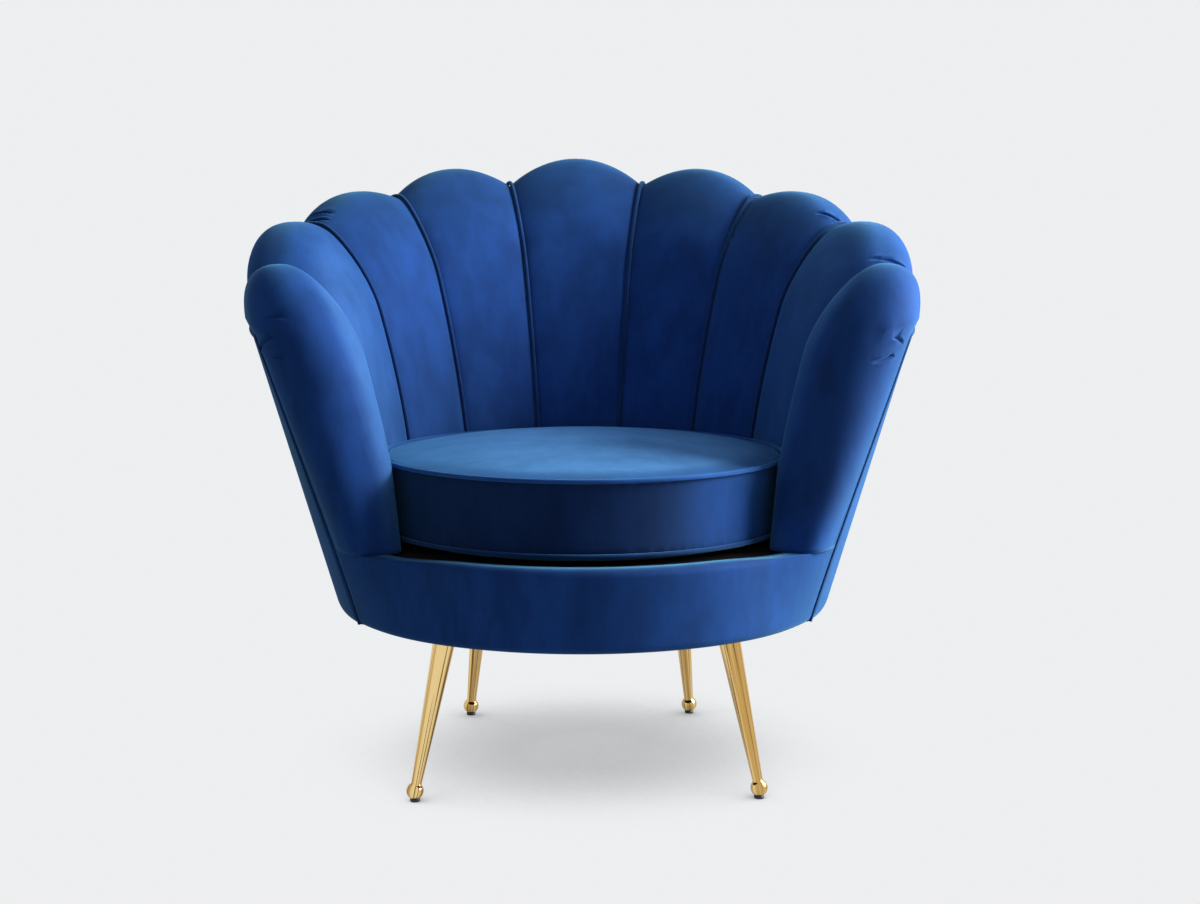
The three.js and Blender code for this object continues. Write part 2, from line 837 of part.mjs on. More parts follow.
function legPlate(leg) {
  const turn = Math.atan2(leg.top.y, leg.top.x);
  const place = (geometry) => solidOf(geometry.rotateZ(turn).translate(leg.top.x, leg.top.y, 0));
  let plate = place(box(plateSize, plateSize, plateThickness, 0, 0, plateBottomHeight));
  plate = plate.subtract(studHole(leg));
  for (const [x, y] of [[-1, -1], [-1, 1], [1, -1], [1, 1]]) {
    const reach = plateSize / 2 - screwInset;
    const head = new THREE.CylinderGeometry(
      screwHeadRadius,
      screwHeadRadius,
      2 * screwHeadHeight,
      screwSides,
    );
    head.rotateX(Math.PI / 2);
    head.translate(x * reach, y * reach, plateBottomHeight);
    plate = plate.add(place(head));
  }
  return geometryOf(plate);
}

// A turned leg: ball, neck, long taper, and the stud that screws into the frame.
function turnedLeg(leg) {
  const profile = [new THREE.Vector2(0, -ballRadius)];
  const neckTurn = Math.asin(legNeckRadius / ballRadius);
  for (let i = 1; i <= ballSteps; i += 1) {
    const turn = mix(Math.PI, neckTurn, i / ballSteps);
    profile.push(new THREE.Vector2(ballRadius * Math.sin(turn), ballRadius * Math.cos(turn)));
  }
  profile.push(new THREE.Vector2(legTopRadius, leg.length + legTopRadius));
  profile.push(new THREE.Vector2(0, leg.length + legTopRadius));
  const body = new THREE.LatheGeometry(profile, legSegments);
  body.rotateX(Math.PI / 2);
  const room = plateBottomHeight - clearance - glideHeight;
  const slice = box(2 * railOuterRadius, 2 * railOuterRadius, room, 0, 0, glideHeight);
  const shaft = solidOf(alongLeg(body, leg)).intersect(solidOf(slice));
  const stud = new THREE.CylinderGeometry(studRadius, studRadius, 2 * studLength, studSides);
  stud.rotateX(Math.PI / 2);
  stud.translate(0, 0, leg.length);
  return geometryOf(shaft.add(solidOf(alongLeg(stud, leg))));
}

for (const leg of legs) {
  addPiece(`leg_plate_${leg.name}`, legPlate(leg), steelFinish());
  addPiece(`leg_${leg.name}`, turnedLeg(leg), material(gold, 0.18, 1));
  const height = glideHeight - clearance;
  const glide = new THREE.CylinderGeometry(glideRadius, glideRadius, height, legSegments);
  glide.rotateX(Math.PI / 2);
  const mesh = addPiece(`glide_${leg.name}`, glide, material(black, 0.5));
  mesh.position.set(leg.ball.x, leg.ball.y, height / 2);
}

// Sinuous springs from the front rail to the rear rail, each with its end clips

function sinuousSpring(x) {
  const reach = Math.sqrt(railInnerRadius ** 2 - (Math.abs(x) + springAmplitude) ** 2);
  const land = reach + springLand;
  const bends = Math.round((2 * reach) / springPitch) * 2;
  const height = springTopHeight - springWireRadius;
  const points = [new THREE.Vector3(x, -land, height)];
  const steps = bends * springBendSteps;
  for (let i = 0; i <= steps; i += 1) {
    const turn = (Math.PI * i) / springBendSteps;
    const sideways = springAmplitude * Math.sin(turn);
    points.push(new THREE.Vector3(x + sideways, mix(-reach, reach, i / steps), height));
  }
  points.push(new THREE.Vector3(x, land, height));
  let solid = solidOf(tube(points, springWireRadius, springWireSides));
  const thickness = springClipThickness + springWireRadius;
  for (const side of [-1, 1]) {
    const clip = box(springClipWidth, springClipLength, thickness, x, side * land, springSeatHeight);
    solid = solid.add(solidOf(clip));
  }
  return geometryOf(solid);
}

springPlaceShares.forEach((share, i) => {
  addPiece(`sinuous_spring_${i + 1}`, sinuousSpring(share * baseRadius), steelFinish());
});

// The padded deck of cloth that lies on the springs, under the cushion
const deck = new THREE.CylinderGeometry(deckRadius, deckRadius, deckThickness, deckSegments);
deck.rotateX(Math.PI / 2);
const deckMesh = addPiece('seat_deck', deck, material(black, 0.9));
deckMesh.position.z = deckTopHeight - deckThickness / 2;

// The upholstered band round the front of the base

function bandShapeRadius(angle, height) {
  const fromArm = Math.max(0, angle - armEdgeAngle(height)) / bandBlendAngle;
  const share = THREE.MathUtils.smoothstep(fromArm, 0, 1);
  const flared = outerRadius(angle, height);
  const straight = bandRadius + bandFlareShare * (height - baseBottomHeight);
  return mix(flared, straight, share);
}

// One column of the band, at a share of the way from the middle of the front to an arm.
function bandColumn(share) {
  const away = Math.abs(share);
  const crestShare = 1 - THREE.MathUtils.smoothstep(away, crestFullShare, crestEndShare);
  const crest = deckTopHeight + bandCrest * crestShare;
  const eased = bandEdgeRound * edgeStepShare;
  const rows = [
    { height: baseBottomHeight, inset: bandEdgeRound },
    { height: baseBottomHeight + eased, inset: eased },
    { height: baseBottomHeight + bandEdgeRound, inset: 0 },
    { height: crest - bandEdgeRound, inset: 0 },
    { height: crest - eased, inset: eased * crestShare },
    { height: crest, inset: bandEdgeRound * crestShare },
  ];
  return rows.map(({ height, inset }) => {
    const angle = mix(Math.PI, noseAngle(height), away);
    const front = polar(bandShapeRadius(angle, height) - inset, angle, height);
    const back = polar(bandInnerRadius, angle, height);
    return share < 0 ? [mirrored(front), mirrored(back)] : [front, back];
  });
}

const bandShares = [];
for (let i = 0; i <= bandColumns; i += 1) {
  bandShares.push((2 * i) / bandColumns - 1);
}
addPiece('base_front_band', columnSheet(bandShares.map(bandColumn)), velvetFinish());

// The dust cover that closes the underside, with a hole round each leg

function dustCover() {
  const outline = new THREE.Shape();
  outline.absarc(0, 0, deckRadius, 0, 2 * Math.PI, false);
  for (const leg of legs) {
    const hole = new THREE.Path();
    hole.absarc(leg.top.x, leg.top.y, dustCoverHole, 0, 2 * Math.PI, true);
    outline.holes.push(new THREE.Path(hole.getSpacedPoints(holeSegments)));
  }
  const settings = { depth: dustCoverThickness, curveSegments: dustCoverSegments, bevelEnabled: false };
  const geometry = new THREE.ExtrudeGeometry(outline, settings);
  geometry.translate(0, 0, railBottomHeight - clearance - dustCoverThickness);
  return geometry;
}

addPiece('dust_cover', dustCover(), material(black, 0.95));

// Seat cushion: a zipped cover with two rounds of piping, and its foam

const cushionBottomHeight = deckTopHeight + clearance;
const weltSeat = weltRadius + clearance;

// The outline of the cushion from the middle of its top to the middle of its bottom, drawn in
// by an inset.
function cushionOutline(inset) {
  const edge = cushionRadius - inset;
  const top = cushionWeltHeight - inset;
  const low = cushionLowWeltHeight + inset;
  const crown = cushionCrownShares.map(([out, up]) => (
    new THREE.Vector2(edge * out, top + cushionCrown * up)
  ));
  const bottom = cushionBottomHeight + inset;
  return [
    ...crown,
    new THREE.Vector2(edge - weltSeat, top + weltRadius),
    new THREE.Vector2(edge - weltSeat, top - weltSeat),
    new THREE.Vector2(edge - clearance, top - weltSeat),
    new THREE.Vector2(edge + cushionBulge, (low + top) / 2),
    new THREE.Vector2(edge - clearance, low + weltSeat),
    new THREE.Vector2(edge - weltSeat, low + weltSeat),
    new THREE.Vector2(edge - 2 * weltSeat, low - weltRadius),
    new THREE.Vector2(cushionFlatRadius - inset, bottom),
    new THREE.Vector2(0, bottom),
  ];
}

function turned(profile) {
  const geometry = new THREE.LatheGeometry(profile.slice().reverse(), cushionSegments);
  geometry.rotateX(Math.PI / 2);
  return geometry;
}

function cushionCover() {
  const outside = solidOf(turned(cushionOutline(0)));
  const inside = solidOf(turned(cushionOutline(coverThickness)));
  const bottom = (cushionLowWeltHeight + cushionWeltHeight - zipGap) / 2;
  const slot = box(zipLength, cushionRadius, zipGap, 0, cushionRadius, bottom);
  return geometryOf(outside.subtract(inside).subtract(solidOf(slot)));
}

function addCushionPiece(name, geometry, height, finish) {
  addPiece(name, geometry, finish).position.set(0, -cushionForward, height);
}

const foamOutline = cushionOutline(coverThickness + clearance);
const ring = new THREE.TorusGeometry(cushionRadius, weltRadius, weltSides, cushionSegments);
addCushionPiece('cushion_cover', cushionCover(), 0, velvetFinish());
addCushionPiece('cushion_foam', turned(foamOutline), 0, material(foam, 0.9));
addCushionPiece('cushion_top_welt', ring, cushionWeltHeight, pipingFinish());
addCushionPiece('cushion_low_welt', ring.clone(), cushionLowWeltHeight, pipingFinish());

// The part's origin is on the floor, under the middle of the chair's box.
const extent = new THREE.Box3().setFromObject(chair);
chair.position.y = -(extent.min.y + extent.max.y) / 2;

const part = new THREE.Group();
part.add(chair);

export default part;
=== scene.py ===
"""Scallop back chair: the shown pieces, their finishes, the camera and the light."""

import json
import math

import bmesh
import bpy
import numpy as np
from mathutils import Matrix, Vector, noise
from mathutils.bvhtree import BVHTree


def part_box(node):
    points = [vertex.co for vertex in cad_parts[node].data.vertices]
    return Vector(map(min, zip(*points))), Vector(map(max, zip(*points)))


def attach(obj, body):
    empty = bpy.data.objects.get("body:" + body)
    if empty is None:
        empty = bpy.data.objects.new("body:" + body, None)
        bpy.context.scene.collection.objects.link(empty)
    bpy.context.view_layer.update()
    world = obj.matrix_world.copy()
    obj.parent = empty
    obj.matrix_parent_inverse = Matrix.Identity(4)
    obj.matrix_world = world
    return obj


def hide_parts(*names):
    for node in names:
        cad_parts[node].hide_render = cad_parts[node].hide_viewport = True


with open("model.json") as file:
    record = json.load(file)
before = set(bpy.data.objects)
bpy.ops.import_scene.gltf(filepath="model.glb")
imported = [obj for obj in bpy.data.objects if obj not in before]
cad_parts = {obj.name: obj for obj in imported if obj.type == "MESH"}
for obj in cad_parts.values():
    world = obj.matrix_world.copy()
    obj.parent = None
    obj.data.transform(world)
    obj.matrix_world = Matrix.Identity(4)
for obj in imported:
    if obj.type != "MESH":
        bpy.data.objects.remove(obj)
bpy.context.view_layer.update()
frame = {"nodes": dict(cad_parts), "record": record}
nodes = frame["nodes"]

# Sizes of the chair in millimetres. Angles are measured round the base circle from straight back.
MM = 0.001
CLEARANCE = 0.3
BASE_BOTTOM = 195.0
DECK_TOP = 290.0
BACK_RIM, SIDE_RIM, ARM_TOP, FRONT_LIP = 728.0, 617.0, 631.0, 545.0
SCALLOP_RISES = (36.5, 30.5, 23.5, 26.0)
BASE_RADIUS, OUTER_FLARE, OUTER_LEAN = 310.0, 0.2915, 0.015
INNER_FLARE, INNER_LEAN, INNER_BOW, BOW_HEIGHT = 0.12, 0.09, 42.0, 300.0
CENTRE_HALF, CHANNEL = math.radians(13.2), math.radians(24.5)
SIDE_CHANNELS = 3
LAST_SEAM = CENTRE_HALF + SIDE_CHANNELS * CHANNEL
GROOVE, ROLL_GROOVE, PAD_DEPTH, ROLL_HEIGHT = 12.0, 2.0, 39.5, 110.0
CHANNEL_SWELL, ARM_SWELL, ARM_FLARE, ROLL_POWER, RIDGE_SHARE = 11.0, 4.5, 0.5, 2.6, 0.54
LIP_DROP, COVER_ROOM, NOSE_LENGTH = 60.0, 5.0, 58.0
EDGE_LOW, EDGE_HIGH, EDGE_POWER = math.radians(118), math.radians(107), 1.5
NOSE_LOW_POWER, NOSE_HIGH_POWER, NOSE_FULL = 3.5, 2.0, 200.0
PAD_POWER, ARM_CROWN = 0.5, 0.67
WELT, WELT_PROUD, SEAM_WELT_RISE, SEAM_SLOT = 2.8, -0.5, 3.9, 2.4
CUSHION_RADIUS, CUSHION_FORWARD, CUSHION_TOP, CUSHION_LOW = 254.5, 17.5, 389.5, 302.0
CUSHION_CLEARANCE = 1.2
TUB_RADIUS = CUSHION_RADIUS + WELT + CUSHION_CLEARANCE
TOP_RAIL_DROP, TOP_RAIL_HEIGHT = 46.0, 36.0
BAND_INNER, BAND_RADIUS, BAND_FLARE, BAND_BLEND = 298.3, 313.0, 0.067, math.radians(24)
BAND_CREST, BAND_ROUND = 5.0, 10.0
RAIL_BOTTOM = 206.0
PAD_BOTTOM = DECK_TOP + CLEARANCE

low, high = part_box("dust_cover")
CENTRE = Vector((0.0, (low[1] + high[1]) / 2, 0.0))


def mix(a, b, t):
    return a + (b - a) * t


class Field:
    """A number in a node tree, which takes part in sums as a plain number does."""

    def __init__(self, maker, socket):
        self.maker = maker
        self.socket = socket

    def join(self, operation, *others):
        values = {0: self.socket}
        for i, other in enumerate(others, 1):
            values[i] = other.socket if isinstance(other, Field) else other
        node = self.maker.add("ShaderNodeMath", values, operation=operation)
        return Field(self.maker, node.outputs[0])

    def __add__(self, other):
        return self.join("ADD", other)

    def __mul__(self, other):
        return self.join("MULTIPLY", other)

    def __sub__(self, other):
        return self.join("SUBTRACT", other)

    def __truediv__(self, other):
        return self.join("DIVIDE", other)

    def __pow__(self, other):
        return self.join("POWER", other)

    def __neg__(self):
        return self.join("MULTIPLY", -1.0)

    def __rsub__(self, other):
        return -self + other

    def __abs__(self):
        return self.join("ABSOLUTE")

    __radd__ = __add__
    __rmul__ = __mul__


def most(a, limit):
    return a.join("MAXIMUM", limit) if isinstance(a, Field) else max(a, limit)


def least(a, limit):
    return a.join("MINIMUM", limit) if isinstance(a, Field) else min(a, limit)


def sine(turn):
    return turn.join("SINE") if isinstance(turn, Field) else math.sin(turn)


def cosine(turn):
    return turn.join("COSINE") if isinstance(turn, Field) else math.cos(turn)


def smooth(t):
    t = least(most(t, 0.0), 1.0)
    return t * t * (3 - 2 * t)


def polar(radius, angle, height, along=0.0):
    """A point in metres at a radius and an angle, with a step along the circle, in millimetres."""
    return np.array([
        (radius * math.sin(angle) + along * math.cos(angle)) * MM,
        (radius * math.cos(angle) - along * math.sin(angle)) * MM + CENTRE.y,
        height * MM,
    ])


# The wall of the tub, by the same rules as its solids, for plain numbers and for fields


def inner_radius(angle, height):
    rise = most(height - CUSHION_TOP, 0.0)
    forward = CUSHION_FORWARD - INNER_LEAN * rise
    bow = INNER_BOW * (rise * (1 / BOW_HEIGHT)) ** 2
    return TUB_RADIUS + INNER_FLARE * rise + bow - forward * cosine(angle)


def outer_radius(angle, height):
    return BASE_RADIUS + (OUTER_FLARE - OUTER_LEAN * cosine(angle)) * (height - BASE_BOTTOM)


def rim_height(angle):
    return mix(BACK_RIM, SIDE_RIM, least(abs(angle) * (1 / LAST_SEAM), 1.0) ** 2)


def lip_height(angle):
    beyond = most(abs(angle) - LAST_SEAM, 0.0) * (1 / (EDGE_HIGH - LAST_SEAM))
    return mix(rim_height(angle) - LIP_DROP, FRONT_LIP, least(beyond, 1.0))


def arm_edge(height):
    share = max(0.0, (height - BASE_BOTTOM) / (FRONT_LIP - BASE_BOTTOM))
    return mix(EDGE_LOW, EDGE_HIGH, share ** EDGE_POWER)


def nose_angle(height):
    edge = arm_edge(height)
    return edge + (WELT + CLEARANCE) / outer_radius(edge, height)


def pad_lip(angle):
    return lip_height(angle) + WELT + CLEARANCE


def pad_share(place):
    return most(1 - place ** 2, 0.0) ** PAD_POWER


def scallop_rise(start, end):
    return SCALLOP_RISES[round(abs(start + end) / 2 / CHANNEL)]


WALL_ROWS = 44
ROLL_ROWS = 16
LIP_ROW = WALL_ROWS - 1
RIDGE_ROW = LIP_ROW + ROLL_ROWS
LAST_ROW = RIDGE_ROW + ROLL_ROWS


class Shape:
    """A section of the wall where it stands at angle_at(height): a skin, or the core behind it."""

    def __init__(self, angle_at, ridge, swell, dip, core=False, flare=1.0):
        angle = angle_at(FRONT_LIP)
        self.angle_at = angle_at
        self.core = core
        self.dip = dip
        self.swell = mix(swell, -ROLL_GROOVE, dip)
        self.flare = mix(flare, 1.0, dip)
        self.lip = pad_lip(angle)
        self.ridge = rim_height(angle) - TOP_RAIL_DROP if core else ridge
        self.inner_start = self.ridge - (TOP_RAIL_HEIGHT if core else ROLL_HEIGHT)

    def inner(self, height):
        return inner_radius(self.angle_at(height), height) + (PAD_DEPTH if self.core else GROOVE * self.dip)

    def outer(self, height):
        angle = self.angle_at(height)
        if self.core:
            return outer_radius(angle, height) - COVER_ROOM
        above = most(height - self.lip, 0.0)
        kept = least(height, self.lip) + above * self.flare
        return outer_radius(angle, kept) + self.swell * smooth(above * (1 / 12))

    def at(self, row, outside):
        """Height and radius at a row, from the seat up one side to the ridge."""
        face = self.outer if outside else self.inner
        start = self.lip if outside else self.inner_start
        power = ROLL_POWER if outside and not self.core else 2.0
        ridge_radius = mix(self.inner(self.ridge), self.outer(self.ridge), RIDGE_SHARE)
        turn = least(most(row - LIP_ROW, 0.0) * (1 / ROLL_ROWS), 1.0) * (math.pi / 2)
        foot = mix(PAD_BOTTOM, start, least(row * (1 / LIP_ROW), 1.0))
        height = mix(foot, self.ridge, most(sine(turn), 0.0) ** (2 / power))
        return height, mix(ridge_radius, face(height), most(cosine(turn), 0.0) ** (2 / power))

    def rows(self, outside):
        return [self.at(row, outside) for row in range(RIDGE_ROW + 1)]


def wall_column(shape):
    rows = shape.rows(False) + shape.rows(True)[LIP_ROW:RIDGE_ROW][::-1]
    return [polar(radius, shape.angle_at(height), height) for height, radius in rows]


# Meshes


def face_outwards(mesh):
    bm = bmesh.new()
    bm.from_mesh(mesh)
    bmesh.ops.remove_doubles(bm, verts=bm.verts, dist=1e-6)
    bmesh.ops.recalc_face_normals(bm, faces=bm.faces)
    if bm.calc_volume(signed=True) < 0:
        bmesh.ops.reverse_faces(bm, faces=bm.faces)
    bm.to_mesh(mesh)
    bm.free()
    mesh.polygons.foreach_set("use_smooth", [True] * len(mesh.polygons))


def place_object(name, data):
    obj = bpy.data.objects.new(name, data)
    bpy.context.scene.collection.objects.link(obj)
    return obj


def new_object(name, verts, faces):
    mesh = bpy.data.meshes.new(name)
    mesh.from_pydata([tuple(v) for v in verts], [], faces)
    mesh.validate()
    face_outwards(mesh)
    return place_object(name, mesh)


def thick(name, fronts, backs, faces):
    """A closed body from a sheet of faces over the fronts, and the matching backs."""
    count = len(fronts)
    edges = set()
    for face in faces:
        for a, b in zip(face, face[1:] + face[:1]):
            edges.add((a, b))
    everything = list(faces) + [tuple(i + count for i in face[::-1]) for face in faces]
    for a, b in edges:
        if (b, a) not in edges:
            everything.append((b, a, a + count, b + count))
    return new_object(name, list(fronts) + list(backs), everything)


def column_sheet(name, fronts, backs):
    """A closed body from columns of front points and the matching back points."""
    rows = len(fronts[0])
    faces = []
    for i in range(len(fronts) - 1):
        for j in range(rows - 1):
            corner = i * rows + j
            faces.append((corner, corner + 1, corner + rows + 1, corner + rows))
    flat = [p for column in fronts for p in column]
    flat_backs = [p for column in backs for p in column]
    return thick(name, flat, flat_backs, faces)


def apply_modifiers(obj):
    """Replaces the mesh by what the modifiers make of it, with smooth faces turned outwards."""
    depsgraph = bpy.context.evaluated_depsgraph_get()
    mesh = bpy.data.meshes.new_from_object(obj.evaluated_get(depsgraph))
    obj.modifiers.clear()
    obj.data = mesh
    face_outwards(mesh)


def mirrored(points):
    return [np.array([-p[0], p[1], p[2]]) for p in points]


def lathe(name, profile, segments=64, axis=None, origin=None):
    """A turned body from (radius, along) pairs in metres, along an axis from an origin."""
    verts, faces = [], []
    for radius, along in profile:
        for k in range(segments):
            turn = 2 * math.pi * k / segments
            verts.append(Vector((radius * math.cos(turn), radius * math.sin(turn), along)))
    rings = len(profile)
    for i in range(rings - 1):
        for k in range(segments):
            l = (k + 1) % segments
            faces.append((i * segments + k, i * segments + l, (i + 1) * segments + l, (i + 1) * segments + k))
    faces.append(tuple(range(segments))[::-1])
    faces.append(tuple((rings - 1) * segments + k for k in range(segments)))
    if axis is not None:
        turn = Vector((0, 0, 1)).rotation_difference(axis).to_matrix()
        verts = [turn @ v + origin for v in verts]
    return new_object(name, verts, faces)


# Materials


class Tree:
    """A node tree that is filled in code."""

    def add(self, kind, values=None, **settings):
        node = self.tree.nodes.new(kind)
        for key, value in settings.items():
            setattr(node, key, value)
        for key, value in (values or {}).items():
            if isinstance(value, Field):
                value = value.socket
            if isinstance(value, bpy.types.NodeSocket):
                self.tree.links.new(value, node.inputs[key])
            else:
                node.inputs[key].default_value = value
        return node


class Nodes(Tree):
    """Builds the node tree of a material or a world."""

    def __init__(self, owner, output):
        self.owner = owner
        owner.use_nodes = True
        self.tree = owner.node_tree
        self.tree.nodes.clear()
        self.output = self.add(output)

    @classmethod
    def material(cls, name):
        return cls(bpy.data.materials.new(name), "ShaderNodeOutputMaterial")

    def math(self, operation, *numbers):
        return self.add("ShaderNodeMath", dict(enumerate(numbers)), operation=operation).outputs[0]

    def attribute(self, name, kind="Fac"):
        return self.add("ShaderNodeAttribute", attribute_name=name).outputs[kind]

    def noise(self, scale, detail, coords, stretch=(1, 1, 1), roughness=0.5):
        mapped = self.add("ShaderNodeMapping", {"Vector": coords, "Scale": stretch})
        return self.add("ShaderNodeTexNoise", {
            "Vector": mapped.outputs["Vector"], "Scale": scale, "Detail": detail, "Roughness": roughness,
        }).outputs["Fac"]

    def ramp(self, fac, low_at, high_at, low_value=0.0, high_value=1.0):
        return self.add("ShaderNodeMapRange", {
            "Value": fac, "From Min": low_at, "From Max": high_at,
            "To Min": low_value, "To Max": high_value,
        }, interpolation_type="SMOOTHSTEP").outputs["Result"]

    def mix(self, fac, a, b):
        return self.add("ShaderNodeMix", {0: fac, 6: a, 7: b}, data_type="RGBA").outputs[2]

    def finish(self, shader):
        self.tree.links.new(shader, self.output.inputs["Surface"])
        return self.owner


class Maker(Tree):
    """A Geometry Nodes tree that makes one kind of piece, with a named input for each of its sizes."""

    def __init__(self, name, sizes):
        self.tree = bpy.data.node_groups.new(name, "GeometryNodeTree")
        sockets = self.tree.interface
        sockets.new_socket("Piece", in_out="OUTPUT", socket_type="NodeSocketGeometry")
        sockets.new_socket("Path", in_out="INPUT", socket_type="NodeSocketGeometry")
        for label, value in sizes.items():
            kind = "NodeSocketInt" if isinstance(value, int) else "NodeSocketFloat"
            sockets.new_socket(label, in_out="INPUT", socket_type=kind).default_value = value
        sockets.new_socket("Finish", in_out="INPUT", socket_type="NodeSocketMaterial")
        self.given = self.add("NodeGroupInput").outputs

    def size(self, label):
        return Field(self, self.given[label])

    def finish(self, geometry):
        real = self.add("GeometryNodeRealizeInstances", {"Geometry": geometry})
        dressed = self.add("GeometryNodeSetMaterial", {
            "Geometry": real.outputs[0], "Material": self.given["Finish"],
        })
        out = self.add("NodeGroupOutput")
        self.tree.links.new(dressed.outputs[0], out.inputs["Piece"])

    def make(self, name, finish, points=(), closed=False, **sizes):
        """The piece as a plain mesh, made along a path of points where its tree asks for one."""
        edges = [(i, i + 1) for i in range(len(points) - 1)]
        if closed:
            edges.append((len(points) - 1, 0))
        mesh = bpy.data.meshes.new(name)
        mesh.from_pydata([tuple(p) for p in points], edges, [])
        obj = place_object(name, mesh)
        modifier = obj.modifiers.new(self.tree.name, "NODES")
        modifier.node_group = self.tree
        for socket in self.tree.interface.items_tree:
            if socket.in_out == "OUTPUT":
                continue
            if socket.name == "Finish":
                modifier[socket.identifier] = finish
            elif socket.name in sizes:
                modifier[socket.identifier] = sizes.pop(socket.name)
        assert not sizes, sizes
        apply_modifiers(obj)
        return obj


def velvet_material(name, dark, light, sheen):
    """Short pile: soft brushed patches, faint streaks where it was stroked, and a fine nap. Where the
    painted light attribute is above 0, a paler colour is painted in as a highlight; below 0, painted shade
    darkens it."""
    n = Nodes.material(name)
    coords = n.add("ShaderNodeTexCoord").outputs["Object"]
    brushed = n.noise(14, 5, coords, (1.6, 1.6, 0.7), 0.62)
    stroked = n.noise(60, 3, coords, (1.0, 1.0, 0.25), 0.6)
    nap = n.noise(1400, 2, coords)
    shade = n.ramp(n.math("MULTIPLY_ADD", stroked, 0.3, brushed), 0.4, 0.9)
    # A paler colour painted in as a highlight where the painted light attribute is above 0.
    painted_highlight = n.mix(shade, PAINTED_HIGHLIGHT_DEEP, PAINTED_HIGHLIGHT_PALE)
    painted_light = n.attribute("painted_light")
    colour = n.mix(painted_light, n.mix(shade, dark, light), painted_highlight)
    # Below 0 the colour is scaled darker: painted shade.
    kept = n.math("MULTIPLY_ADD", n.math("MINIMUM", painted_light, 0.0), 0.75, 1.0)
    colour = n.add("ShaderNodeVectorMath", {0: colour, "Scale": kept}, operation="SCALE").outputs["Vector"]
    height = n.math("MULTIPLY_ADD", nap, 0.6, stroked)
    bump = n.add("ShaderNodeBump", {"Strength": 0.16, "Distance": 0.0007, "Height": height})
    shader = n.add("ShaderNodeBsdfPrincipled", {
        "Base Color": colour,
        "Roughness": 0.8,
        "Specular IOR Level": 0.12,
        "Sheen Weight": sheen,
        "Sheen Roughness": 0.5,
        "Sheen Tint": (0.2, 0.66, 1.0, 1.0),
        "Normal": bump.outputs["Normal"],
    })
    return n.finish(shader.outputs["BSDF"])


def plain_material(
    name, colour, other, roughness, metallic=0.0, scale=40, stretch=(1, 1, 1), bump=0.0, gloss=0.5,
):
    """A finish that changes a little between two colours and two degrees of gloss."""
    n = Nodes.material(name)
    coords = n.add("ShaderNodeTexCoord").outputs["Object"]
    pattern = n.noise(scale, 5, coords, stretch)
    values = {
        "Base Color": n.mix(pattern, (*colour, 1), (*other, 1)),
        "Roughness": n.ramp(pattern, 0.2, 0.8, roughness * 0.9, roughness * 1.1),
        "Metallic": metallic,
        "Specular IOR Level": gloss,
    }
    if bump:
        node = n.add("ShaderNodeBump", {"Strength": bump, "Distance": 0.0005, "Height": pattern})
        values["Normal"] = node.outputs["Normal"]
    return n.finish(n.add("ShaderNodeBsdfPrincipled", values).outputs["BSDF"])


def gold_material():
    """Gold metal with painted reflections: broad pale and amber bands and dark streaks along a leg,
    over fine drawn lines in its relief. Its coordinates turn round the leg and run along it."""
    n = Nodes.material("gold_metal")
    lift = n.add("ShaderNodeCombineXYZ", {"Z": n.attribute("along")}).outputs["Vector"]
    coords = n.add("ShaderNodeVectorMath", {0: n.attribute("around", "Vector"), 1: lift}).outputs["Vector"]
    reflection_bands = n.noise(1.7, 3, coords, (1, 1, 0.25), 0.5)
    drawn_relief_and_reflections = n.noise(6.5, 3, coords, (1, 1, 0.09), 0.6)
    # Painted reflections: broad pale and amber bands, and dark brown streaks, run along the leg.
    reflected_tone = n.mix(n.ramp(reflection_bands, 0.38, 0.62), (0.62, 0.36, 0.1, 1), (0.93, 0.68, 0.3, 1))
    reflection_streak = n.ramp(drawn_relief_and_reflections, 0.38, 0.46)
    colour = n.mix(reflection_streak, (0.13, 0.06, 0.015, 1), reflected_tone)
    bump = n.add("ShaderNodeBump", {"Strength": 0.1, "Distance": 0.0003, "Height": drawn_relief_and_reflections})
    return n.finish(n.add("ShaderNodeBsdfPrincipled", {
        "Base Color": colour, "Metallic": 1.0, "Roughness": n.ramp(reflection_streak, 0, 1, 0.24, 0.13),
        "Normal": bump.outputs["Normal"],
    }).outputs["BSDF"])


# Paler colours painted in as highlights on the velvet.
PAINTED_HIGHLIGHT_DEEP, PAINTED_HIGHLIGHT_PALE = (0.05, 0.16, 0.42, 1), (0.08, 0.225, 0.55, 1)
VELVET = velvet_material("velvet", (0.0047, 0.033, 0.16, 1), (0.0085, 0.054, 0.25, 1), 0.28)
# The piping's colours are a darker copy of the velvet, painted shade of the grooves and gaps it lies in; the
# cushion's top piping is a paler copy, painted light.
SHADED_PIPING = velvet_material("piping", (0.0025, 0.017, 0.095, 1), (0.0045, 0.027, 0.14, 1), 0.45)
LIT_CUSHION_PIPING = velvet_material("lit_cushion_piping", (0.012, 0.06, 0.26, 1), (0.018, 0.08, 0.33, 1), 0.5)
GOLD = gold_material()
TIMBER = plain_material("timber", (0.5, 0.34, 0.19), (0.36, 0.23, 0.12), 0.6, 0.0, 14, (1, 1, 0.1), 0.2)
FOAM = plain_material("foam", (0.8, 0.72, 0.45), (0.72, 0.64, 0.38), 0.9, 0.0, 600, (1, 1, 1), 0.3)
BLACK_CLOTH = plain_material(
    "black_cloth", (0.005, 0.005, 0.006), (0.009, 0.009, 0.011), 0.9, 0.0, 900, (1, 1, 1), 0.4, 0.05,
)
STEEL = plain_material("steel", (0.5, 0.5, 0.52), (0.42, 0.42, 0.44), 0.35, 1.0, 60)
GLIDE = plain_material("glide", (0.015, 0.015, 0.016), (0.02, 0.02, 0.02), 0.5, 0.0, 200)
